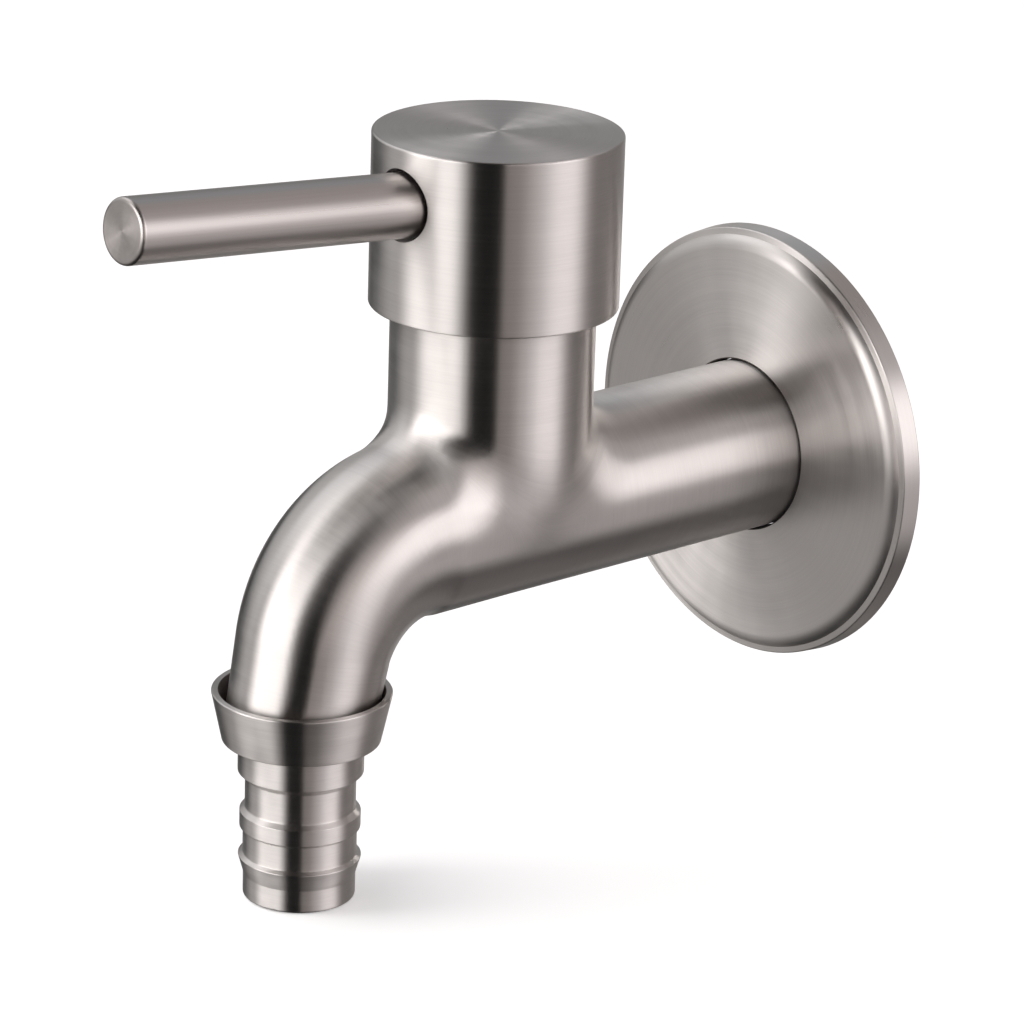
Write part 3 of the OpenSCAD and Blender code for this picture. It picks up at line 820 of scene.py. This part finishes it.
def grained_metal(name, base_colour, viewport_hex, place, roughness=0.34, spread=0.07, anisotropy=1.0,
                  depth=0.003, darkening=0.1, fine=3.5, round_scale=1.5, cloudiness=0.25):
    """Metal with fine parallel grooves left by a belt or a lathe tool. The grooves stretch each reflection
    across themselves, which gives the long soft streaks of brushed steel. They are drawn coarser than real
    ones, because real ones are finer than a pixel.
    place(tree) gives (across, cosine, sine, way) for the grooves."""
    # The grooves are uneven in three ways: single lines, wider bands of them, and broad clouds.
    band_fine = fine * 0.14
    band_round = round_scale * 0.5
    cloud_fine = 0.05
    cloud_round = 2.2
    material, tree = new_material(name, viewport_hex)
    across, cosine, sine, way = place(tree)
    lines = stretched_noise(tree, across, cosine, sine, fine, round_scale, detail=3.0)
    bands = stretched_noise(tree, across, cosine, sine, band_fine, band_round, shift=41.0)
    cloud = stretched_noise(tree, across, cosine, sine, cloud_fine, cloud_round, shift=17.0)
    both = node_math(tree, "MULTIPLY_ADD", bands, 0.5, node_math(tree, "MULTIPLY", lines, 0.5))
    rough = node_math(tree, "MULTIPLY_ADD", cloud, 0.5, node_math(tree, "MULTIPLY", both, 0.5))
    fine_share = node_math(tree, "MULTIPLY", both, 1 - cloudiness)
    streaks = node_math(tree, "MULTIPLY_ADD", cloud, cloudiness, fine_share)
    dark = tuple(c * (1 - darkening) for c in base_colour[:3]) + (1.0,)
    light = tuple(min(1, c * (1 + darkening)) for c in base_colour[:3]) + (1.0,)
    bump = add(tree, "ShaderNodeBump", {"Height": lines, "Distance": depth * MM, "Strength": 1.0})
    world_way = add(tree, "ShaderNodeVectorTransform", {"Vector": way}, vector_type="VECTOR",
                    convert_from="OBJECT", convert_to="WORLD")
    shade(tree, {
        "Base Color": mixed(tree, "RGBA", ranged(tree, streaks, 0, 1), dark, light),
        "Roughness": ranged(tree, rough, roughness - spread, roughness + spread),
        "Metallic": 1.0, "Anisotropic": anisotropy, "Anisotropic Rotation": 0.25,
        "Normal": bump.outputs["Normal"], "Tangent": world_way.outputs["Vector"]})
    return material


def turned_metal(name, base_colour, viewport_hex, point, axis, **settings):
    """Metal turned or brushed round one axis."""
    return grained_metal(name, base_colour, viewport_hex, lambda tree: turned_place(tree, point, axis),
                         **settings)


def lengthwise_place(tree, point, axis):
    """Coordinates on a bar that a belt brushed along its length: the same as on a turned piece, but the
    streaks run along the axis."""
    axis = Vector(axis).normalized()
    cosine, sine = turned_place(tree, point, axis)[1:3]
    reach = node_vector(tree, "SUBTRACT", object_place(tree), tuple(point))
    height = node_vector(tree, "DOT_PRODUCT", reach, tuple(axis))
    stretch = 0.01
    along = node_math(tree, "MULTIPLY", height, stretch / MM)
    way = node_vector(tree, "SCALE", tuple(axis), scale=1.0)
    return along, cosine, sine, way


def body_place(tree):
    """Coordinates on the body, from what its skin stores. Where the arm and the column meet, scratches of
    both ways lie across each other, finer than a pixel, and their share goes from one to the other."""
    def stored(name, output):
        return add(tree, "ShaderNodeAttribute", attribute_name=name).outputs[output]

    share = stored("column_share", "Fac")
    place = mixed(tree, "VECTOR", share, stored("arm_place", "Vector"), stored("column_place", "Vector"))
    parts = add(tree, "ShaderNodeSeparateXYZ", {"Vector": place})
    speck = add(tree, "ShaderNodeTexWhiteNoise", {
        "Vector": node_vector(tree, "SCALE", object_place(tree), scale=1 / MM)})
    crossed = node_math(tree, "GREATER_THAN", share, speck.outputs["Value"])
    way = mixed(tree, "VECTOR", crossed, stored("arm_way", "Vector"), stored("column_way", "Vector"))
    return parts.outputs["X"], parts.outputs["Y"], parts.outputs["Z"], way


def soft_material(name, base_colour, viewport_hex, roughness, grain, spread=0.08, bump=0.01, metallic=0.0):
    """A moulded, fired or oxidised surface: an even colour with a fine mottle in its gloss.
    grain is the mottle's size in millimetres."""
    material, tree = new_material(name, viewport_hex)
    mottle = add(tree, "ShaderNodeTexNoise", {
        "Vector": object_place(tree), "Scale": 1 / (grain * MM), "Detail": 3.0}).outputs["Fac"]
    relief = add(tree, "ShaderNodeBump", {"Height": mottle, "Distance": bump * MM})
    shade(tree, {
        "Base Color": base_colour, "Metallic": metallic, "Normal": relief.outputs["Normal"],
        "Roughness": ranged(tree, mottle, roughness - spread, roughness + spread)})
    return material


def repaint(material, slot, *nodes):
    """Gives CAD nodes that stay as they are a better material."""
    for node in nodes:
        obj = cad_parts[node]
        for index in range(len(obj.data.materials)):
            obj.data.materials[index] = material
        if not obj.data.materials:
            obj.data.materials.append(material)


# The pieces

class BIBTAP_OT_body(bpy.types.Operator):
    """Makes the body: tube, valve column and spout in one brushed skin"""
    bl_idname = "bib_tap.body"
    bl_label = "Body"

    def execute(self, context):
        steel = grained_metal("brushed_body_steel", looks().steel, "#A69F9A", body_place)
        dress(make_body(), steel, "tap", "tap_body")
        return {"FINISHED"}


class BIBTAP_OT_cap(bpy.types.Operator):
    """Makes the handle cap with the hole that the lever enters"""
    bl_idname = "bib_tap.cap"
    bl_label = "Handle cap"

    def execute(self, context):
        s = sizes()
        radius = s.cap_radius / MM
        low = s.cap_bottom / MM
        high = (s.cap_bottom + s.cap_height) / MM
        skirt_radius = 15.3
        skirt_roof = 36.0
        recess_radius = 11.315
        recess_roof = 40.8
        spline_radius = 4.05
        spline_top = 51
        cap = turned("handle_cap_turned", [
            (0, high, 0), (radius, high, 0.35), (radius, low, 0.3), (skirt_radius, low, 0.15),
            (skirt_radius, skirt_roof, 0.2), (recess_radius, skirt_roof, 0.2),
            (recess_radius, recess_roof, 0.2), (spline_radius, recess_roof, 0),
            (spline_radius, spline_top, 0), (0, spline_top, 0)],
            column_point(), UP, segments=looks().round_segments)
        # The lever's hole is wide outside and narrow round the lever's shank.
        wide = (s.lever_radius + s.lever_gap) / MM
        narrow = SHANK_RADIUS + FIT_GAP
        narrow_start = 3.5
        wide_start = 12
        clear = 30
        hole = turned("lever_hole", [
            (0, narrow_start, 0), (narrow, narrow_start, 0), (narrow, wide_start, 0), (wide, wide_start, 0),
            (wide, clear, 0), (0, clear, 0)],
            column_point(s.lever_height), lever_axis(), segments=128, longest=100)
        cut(cap, hole)
        smooth(cap.data)
        steel = turned_metal("brushed_cap_steel", looks().steel, "#A9A19D", column_point(), UP)
        dress(cap, steel, "handle", "handle_cap")
        faced = turned_metal("faced_cap_steel", looks().steel, "#A9A19D", column_point(), UP, anisotropy=0.92)
        above_hole = s.cap_bottom + 20 * MM
        dress_part(cap, faced, lambda middle, normal: normal.z > 0.9 and middle.z > above_hole)
        return {"FINISHED"}


class BIBTAP_OT_lever(bpy.types.Operator):
    """Makes the lever, a straight bar with a screwed shank"""
    bl_idname = "bib_tap.lever"
    bl_label = "Lever"

    def execute(self, context):
        s = sizes()
        radius = s.lever_radius / MM
        tip = s.lever_reach / MM
        seat = 13.64
        shank_start = seat - 5.5
        point = column_point(s.lever_height)
        lever = turned("lever_rod_turned", [
            (0, tip, 0), (radius, tip, 0.6), (radius, seat, 0.3), (SHANK_RADIUS, seat, 0),
            (SHANK_RADIUS, shank_start, 0.3), (0, shank_start, 0)], point, lever_axis(), segments=128)
        steel = grained_metal("brushed_lever_steel", looks().lever_steel, "#AEA5A0",
                              lambda tree: lengthwise_place(tree, point, lever_axis()), round_scale=16.0,
                              roughness=0.32, anisotropy=0.2)
        dress(lever, steel, "handle", "lever_rod")
        faced = turned_metal("faced_lever_steel", looks().lever_steel, "#B5ADA8", point, lever_axis(),
                             anisotropy=0.5)
        dress_part(lever, faced, lambda middle, normal: normal.dot(lever_axis()) > 0.5)
        return {"FINISHED"}


class BIBTAP_OT_flange(bpy.types.Operator):
    """Makes the spun wall flange"""
    bl_idname = "bib_tap.flange"
    bl_label = "Wall flange"

    def execute(self, context):
        rim = sizes().flange_radius / MM
        sheet = 1.2
        band = 3.0
        band_lean = 0.25
        face_end = 29.2
        face_height = 4.37
        shoulder_radius = 2.4
        hole = 12.85
        hole_front = 5
        hole_back = 3.8
        groove_radius = 15.5
        rib_radius = 16.4
        rib_back = 1
        shoulder = []
        for degrees in range(60, 0, -5):
            turn = math.radians(degrees)
            shoulder.append((face_end + shoulder_radius * math.sin(turn),
                             face_height - shoulder_radius * (1 - math.cos(turn)), 0))
        inner_side = [(rib_radius, 3.75, 0.3), (28.9, 3.15, 0.3), (30.9, 2.5, 0.3)]
        flange = turned("wall_flange_spun", [
            (rim - sheet, 0, 0), (rim, 0, 0.2), (rim - band_lean, band, 0.25), *shoulder,
            (face_end, face_height, 0), (hole, hole_front, 0.15), (hole, hole_back, 0),
            (groove_radius, hole_back, 0), (groove_radius, rib_back, 0), (rib_radius, rib_back, 0),
            *inner_side],
            WALL_POINT, TO_ROOM, segments=looks().round_segments)
        steel = turned_metal("brushed_flange_steel", looks().steel, "#A49C98", WALL_POINT, TO_ROOM,
                             spread=0.09, depth=0.0015, darkening=0.14, cloudiness=0.5, anisotropy=0.9)
        dress(flange, steel, "flange", "wall_flange")
        # The hole's edge and the grip ring's groove are unpolished; their darker colour is painted shade, so
        # the gap round the tube stays dark.
        dull_shaded_steel = turned_metal("unpolished_shaded_flange_steel", linear("#5A5552"), "#4A4644", WALL_POINT, TO_ROOM,
                            roughness=0.6, anisotropy=0.0)

        edge_reach = 13.05 * MM
        groove_reach = 15.6 * MM
        groove_depth = 3.9 * MM

        def round_the_hole(middle, normal):
            reach = math.hypot(middle.x, middle.z)
            return reach < edge_reach or (reach < groove_reach and -middle.y < groove_depth)

        dress_part(flange, dull_shaded_steel, round_the_hole)
        return {"FINISHED"}


class BIBTAP_OT_hose_tail(bpy.types.Operator):
    """Makes the hose tail: collar, shoulder, stem and two barbs"""
    bl_idname = "bib_tap.hose_tail"
    bl_label = "Hose tail"

    def execute(self, context):
        point = Vector((0, -tail_distance(), 0))
        bore = 6
        plug_top = -16.03
        collar_floor = -24.0
        collar_top = -19.9
        collar_bottom = -27.1
        shoulder = 8.85
        stem = 7.8
        upper_barb = 8.52
        middle_stem = 8.03
        lower_barb = 8.68
        end_radius = 7.93
        end = -50.5
        # Down from the plug inside the spout, over the collar's cup, the shoulder, the stem and the barbs
        tail = turned("hose_tail_turned", [
            (bore, plug_top, 0.2), (PLUG_RADIUS, plug_top, 0.4), (PLUG_RADIUS, collar_floor, 0.1),
            (10.8, collar_floor, 0.2), (11.7, collar_top, 0.12), (12.7, collar_top, 0.2),
            (11.15, collar_bottom, 0.25), (shoulder, collar_bottom, 0.15), (shoulder, -31.8, 0.15),
            (stem, -32.65, 0.3), (stem, -37.15, 0.3), (upper_barb, -37.8, 0.12), (upper_barb, -40.1, 0.1),
            (middle_stem, -40.5, 0.15), (middle_stem, -44.1, 0.15), (lower_barb, -44.5, 0.12),
            (end_radius, -47.1, 0.4), (end_radius, end, 0.4), (bore, end, 0.2)], point, UP)
        steel = turned_metal("turned_tail_steel", looks().steel, "#AAA29E", point, UP)
        dress(tail, steel, "tap", "hose_tail")
        # The inside is left as the tool cut it, so it is duller; its darker colour is painted shade inside
        # the bore and the collar's cup.
        rough = turned_metal("unpolished_shaded_tail_steel", linear("#8A8480"), "#5F5A57", point, UP, roughness=0.5,
                             anisotropy=0.4)

        cup_reach = 11.5 * MM
        cup_floor = -25 * MM

        def inside(middle, normal):
            reach = math.hypot(middle.x, middle.y - point.y)
            outwards = (normal.x * middle.x + normal.y * (middle.y - point.y)) / reach
            return outwards < -0.5 or (reach < cup_reach and middle.z > cup_floor)

        dress_part(tail, rough, inside)
        return {"FINISHED"}


def thread_tree():
    """Geometry Nodes tree that winds a ridge round a turned core, for a pipe thread."""
    names = ("Root Radius", "Pitch", "Depth", "Length")
    tree, start = new_geometry_tree("pipe_thread", dict.fromkeys(names, 0.0))
    root, pitch, depth, run = (start.outputs[name] for name in names)
    # The ridge's width at its foot and at its crest, as shares of the pitch
    foot = 0.96
    crest = 0.22
    turns = node_math(tree, "DIVIDE", run, pitch)
    spiral = add(tree, "GeometryNodeCurveSpiral", {
        "Resolution": 96, "Rotations": turns, "Start Radius": root, "End Radius": root, "Height": run})
    upright = add(tree, "GeometryNodeSetCurveNormal", {"Curve": spiral.outputs["Curve"]}, mode="Z_UP")
    ridge = add(tree, "GeometryNodeCurvePrimitiveQuadrilateral", {
        "Height": depth, "Bottom Width": node_math(tree, "MULTIPLY", pitch, foot),
        "Top Width": node_math(tree, "MULTIPLY", pitch, crest), "Offset": 0.0}, mode="TRAPEZOID")
    shift = add(tree, "ShaderNodeCombineXYZ", {"X": node_math(tree, "MULTIPLY", depth, -0.5)})
    outwards = add(tree, "GeometryNodeTransform", {
        "Geometry": ridge.outputs["Curve"], "Rotation": (0, 0, math.pi / 2),
        "Translation": shift.outputs["Vector"]})
    swept = add(tree, "GeometryNodeCurveToMesh", {
        "Curve": upright.outputs["Curve"], "Profile Curve": outwards.outputs["Geometry"], "Fill Caps": True})
    # The ridge's first turn begins half a pitch in, so that it doesn't pass the core's end.
    lead_in = add(tree, "ShaderNodeCombineXYZ", {"Z": node_math(tree, "MULTIPLY", pitch, 0.5)})
    raised = add(tree, "GeometryNodeTransform",
                 {"Geometry": swept.outputs["Mesh"], "Translation": lead_in.outputs["Vector"]})
    joined = add(tree, "GeometryNodeJoinGeometry")
    tree.links.new(start.outputs["Geometry"], joined.inputs["Geometry"])
    tree.links.new(raised.outputs["Geometry"], joined.inputs["Geometry"])
    return end_tree(tree, start, joined.outputs["Geometry"])


class BIBTAP_OT_inlet(bpy.types.Operator):
    """Makes the inlet nipple with its pipe thread"""
    bl_idname = "bib_tap.inlet"
    bl_label = "Inlet nipple"

    def execute(self, context):
        pitch = sizes().thread_pitch / MM
        depth = 0.64 * pitch
        crest = 10.4775
        root = crest - depth
        turns = 6.4
        # The ridge's foot lies a little inside the core.
        sunk = 0.02 * MM
        thread_end = 13.6
        stop_start = 14.2
        stop_end = 15
        inner_end = 26
        thread_length = 14 * MM
        nipple = turned("inlet_nipple_core", [
            (WATERWAY_RADIUS, 0, 0.3), (root, 0, 0.3), (root, thread_end, 0), (crest, stop_start, 0.1),
            (crest, stop_end, 0), (NIPPLE_RADIUS, stop_end, 0), (NIPPLE_RADIUS, inner_end, 0.2),
            (WATERWAY_RADIUS, inner_end, 0.2)], WALL_POINT, UP, segments=128)
        modifier = nipple.modifiers.new("thread", "NODES")
        modifier.node_group = thread_tree()
        set_inputs(modifier, Root_Radius=root * MM - sunk, Pitch=pitch * MM, Depth=depth * MM,
                   Length=pitch * turns * MM)
        bake_modifiers(nipple)
        nipple.data.transform(axis_matrix((0, thread_length, 0), TO_ROOM))
        smooth(nipple.data)
        steel = turned_metal("turned_inlet_steel", looks().steel, "#B5ACA6", WALL_POINT, TO_ROOM)
        dress(nipple, steel, "tap", "inlet_nipple")
        return {"FINISHED"}


class BIBTAP_OT_seals(bpy.types.Operator):
    """Makes the lever's rubber ring and finishes the other seals"""
    bl_idname = "bib_tap.seals"
    bl_label = "Rubber rings"

    def execute(self, context):
        rubber = soft_material("black_rubber", looks().rubber, "#1B1B1C", 0.55, 0.4)
        radius = 3.82
        section = 0.8
        reach = 12.82 * MM
        points = 24
        circle = []
        for k in range(points):
            turn = 2 * math.pi * k / points
            circle.append((radius + section * math.cos(turn), section * math.sin(turn), 0))
        middle = column_point(sizes().lever_height) + lever_axis() * reach
        ring = turned("lever_oring_round", circle, middle, lever_axis(), segments=96, longest=10)
        dress(ring, rubber, "handle", "lever_oring")
        repaint(rubber, "rubber", "flange_grip_ring", "spindle_orings", "bonnet_gasket", "seat_seal",
                "tail_washer")
        return {"FINISHED"}


class BIBTAP_OT_valve(bpy.types.Operator):
    """Finishes the inner pieces of the valve"""
    bl_idname = "bib_tap.valve"
    bl_label = "Valve"

    def execute(self, context):
        brass = turned_metal("turned_brass", looks().brass, "#D0A860", column_point(), UP, roughness=0.28,
                             anisotropy=0.5, fine=7.0)
        ceramic = soft_material("lapped_ceramic", linear("#E9E4DA"), "#E9E4DA", 0.22, 0.15, spread=0.05,
                                bump=0.001)
        nylon = soft_material("moulded_nylon", linear("#DAD5C8"), "#DAD5C8", 0.45, 0.3, bump=0.004)
        spring = soft_material("oxidised_spring_steel", linear("#3A3835"), "#3A3835", 0.4, 0.2, bump=0.002,
                               metallic=1.0)
        repaint(brass, "brass", "headpart_body", "spindle")
        repaint(ceramic, "ceramic", "lower_ceramic_disc", "upper_ceramic_disc")
        repaint(nylon, "nylon", "glide_washer", "centring_ring")
        repaint(spring, "spring_steel", "spindle_circlip", "grub_screw")
        return {"FINISHED"}


# Stage: floor, studio light and camera

def light_panels(tree, panels, ground):
    """World light from soft-edged panels. Each panel is (left, right, left edge, right edge, low, high,
    low edge, high edge, brightness, colour): where it begins and ends round the object and in height,
    and how wide each edge fades, all in degrees. The ground is the even light that they add to."""
    way = add(tree, "ShaderNodeTexCoord").outputs["Generated"]
    parts = add(tree, "ShaderNodeSeparateXYZ", {"Vector": way})
    azimuth = node_math(tree, "ARCTAN2", parts.outputs["Y"], parts.outputs["X"])
    elevation = node_math(tree, "ARCSINE", parts.outputs["Z"])
    total = (ground, ground, ground)

    def fade(value, begin, end):
        node = add(tree, "ShaderNodeMapRange", {
            "Value": value, "From Min": math.radians(begin), "From Max": math.radians(end),
            "To Min": 0.0, "To Max": 1.0}, interpolation_type="SMOOTHSTEP")
        return node.outputs["Result"]

    def window(value, low, high, low_edge, high_edge):
        """1 between two soft edges and 0 outside them."""
        rises = fade(value, low - low_edge / 2, low + low_edge / 2)
        falls = fade(node_math(tree, "MULTIPLY", value, -1.0), -high - high_edge / 2, -high + high_edge / 2)
        return node_math(tree, "MULTIPLY", rises, falls)

    for left, right, left_edge, right_edge, *upright, brightness, tone in panels:
        off = node_math(tree, "SUBTRACT", azimuth, math.radians((left + right) / 2))
        off = node_math(tree, "WRAP", off, math.pi, -math.pi)
        half = (right - left) / 2
        shape = node_math(tree, "MULTIPLY", window(off, -half, half, left_edge, right_edge),
                          window(elevation, *upright))
        tint = tuple(brightness * c for c in linear(tone)[:3])
        total = node_vector(tree, "ADD", node_vector(tree, "SCALE", tint, scale=shape), total)
    return total


PANELS = [
    # soft box at the viewer's left, at the height of the tap
    (-127, -73, 26, 18, -6, 30, 20, 14, 3.5, "#FFFCFB"),
    # its upper half, further round behind the spout
    (-186, -122, 30, 34, 30, 64, 14, 24, 1.25, "#FFFCFC"),
    # weaker light below and behind it
    (-162, -66, 30, 10, -44, 2, 30, 14, 0.42, "#FFFBF9"),
    (-200, -138, 20, 24, 2, 31, 12, 12, 0.65, "#FFFFFF"),
    # soft box at the viewer's right: its bright middle, its softer rim and its near edge
    (1, 42, 40, 22, -3, 31, 22, 16, 1.66, "#FFFBFC"),
    (-2, 46, 46, 34, -40, 58, 20, 26, 0.74, "#FFF8F8"),
    (-34, -4, 4, 20, -10, 32, 14, 14, 0.75, "#FFF4F0"),
    # weak light from the right round to the wall's side
    (42, 112, 30, 14, -90, 34, 1, 14, 0.21, "#FFF5F3"),
    (45, 112, 30, 14, 32, 58, 14, 14, 0.48, "#FFF5F3"),
    (112, 192, 10, 20, 30, 60, 12, 16, 0.45, "#F2F8FF"),
    (112, 152, 10, 20, 2, 30, 10, 12, 0.27, "#FFFFFF"),
    (112, 158, 14, 20, -50, 2, 20, 10, 0.35, "#FFFCFA"),
    # weak light from above
    (20, 205, 50, 30, 60, 95, 24, 1, 0.3, "#FFF5F0"),
]


class BIBTAP_OT_stage(bpy.types.Operator):
    """Lays the floor, lights the object and sets the camera"""
    bl_idname = "bib_tap.stage"
    bl_label = "Stage"

    def execute(self, context):
        scene = context.scene
        scene.view_settings.view_transform = "Standard"
        floor_mesh = bpy.data.meshes.new("floor")
        half = 6.0
        level = -50.6 * MM
        corners = [(-half, -half), (half, -half), (half, half), (-half, half)]
        floor_mesh.from_pydata([(*corner, level) for corner in corners], [], [(0, 1, 2, 3)])
        floor = link_mesh("floor", floor_mesh)
        paint, tree = new_material("pale_floor", "#F2F2F2")
        shade(tree, {"Base Color": (0.85, 0.85, 0.85, 1), "Roughness": 1.0, "Specular IOR Level": 0.0,
                     "Emission Color": (1, 1, 1, 1), "Emission Strength": 0.34})
        floor_mesh.materials.append(paint)
        floor.visible_glossy = False

        world = bpy.data.worlds.new("studio")
        scene.world = world
        world.use_nodes = True
        tree = world.node_tree
        tree.nodes.clear()
        brightness = light_panels(tree, PANELS, ground=0.015)
        backdrop = add(tree, "ShaderNodeLightPath").outputs["Is Camera Ray"]
        seen = node_vector(tree, "MAXIMUM", brightness, backdrop)
        shine = add(tree, "ShaderNodeBackground", {"Color": seen, "Strength": 1.0})
        add(tree, "ShaderNodeOutputWorld", {"Surface": shine.outputs["Background"]})

        lamp_data = bpy.data.lights.new("floor_light", "AREA")
        lamp_data.shape = "RECTANGLE"
        lamp_data.size = 0.4
        lamp_data.size_y = 1.4
        lamp_data.energy = 7.5
        lamp = bpy.data.objects.new("floor_light", lamp_data)
        scene.collection.objects.link(lamp)
        lamp_place = Vector((-0.313, -0.542, 1.0))
        lamp.matrix_world = axis_matrix(lamp_place, lamp_place)
        lamp.visible_glossy = False
        # Only the hose tail throws this lamp's shadow, so that the floor stays clear elsewhere.
        shaded = bpy.data.collections.new("shadow_of_the_tail")
        shaded.objects.link(bpy.data.objects["hose_tail_turned"])
        lamp.light_linking.blocker_collection = shaded

        azimuth = math.radians(48.41)
        elevation = math.radians(19.088)
        roll = math.radians(1.834)
        back = Vector((math.sin(azimuth) * math.cos(elevation), -math.cos(azimuth) * math.cos(elevation),
                       math.sin(elevation)))
        across = Vector((math.cos(azimuth), math.sin(azimuth), 0))
        rise = back.cross(across)
        right = across * math.cos(roll) + rise * math.sin(roll)
        top = rise * math.cos(roll) - across * math.sin(roll)
        lens = bpy.data.cameras.new("camera")
        lens.sensor_width = 36
        lens.lens = 166.45
        lens.clip_start = 0.01
        camera = bpy.data.objects.new("camera", lens)
        scene.collection.objects.link(camera)
        pose = Matrix((right, top, back)).transposed().to_4x4()
        pose.translation = Vector((477.871, -473.895, 219.515)) * MM
        camera.matrix_world = pose
        scene.camera = camera
        return {"FINISHED"}


class BIBTAP_PT_panel(bpy.types.Panel):
    """Lists the sizes, the colours and the pieces"""
    bl_idname = "BIBTAP_PT_panel"
    bl_label = "Bib Tap"
    bl_space_type = "VIEW_3D"
    bl_region_type = "UI"
    bl_category = "Bib Tap"

    def draw(self, context):
        for group in (context.scene.bib_tap_sizes, context.scene.bib_tap_looks):
            box = self.layout.box()
            for name in group.__annotations__:
                box.prop(group, name)
        for piece in PIECES:
            self.layout.operator(piece.bl_idname)


PIECES = (BIBTAP_OT_body, BIBTAP_OT_cap, BIBTAP_OT_lever, BIBTAP_OT_flange, BIBTAP_OT_hose_tail,
          BIBTAP_OT_inlet, BIBTAP_OT_seals, BIBTAP_OT_valve, BIBTAP_OT_stage)
CLASSES = (BibTapSizes, BibTapLooks, *PIECES, BIBTAP_PT_panel)


def register():
    for each in CLASSES:
        bpy.utils.register_class(each)
    bpy.types.Scene.bib_tap_sizes = PointerProperty(type=BibTapSizes)
    bpy.types.Scene.bib_tap_looks = PointerProperty(type=BibTapLooks)


def unregister():
    del bpy.types.Scene.bib_tap_looks
    del bpy.types.Scene.bib_tap_sizes
    for each in reversed(CLASSES):
        bpy.utils.unregister_class(each)


def main():
    register()
    for piece in PIECES:
        group, name = piece.bl_idname.split(".")
        getattr(getattr(bpy.ops, group), name)()


if __name__ == "__main__":
    main()
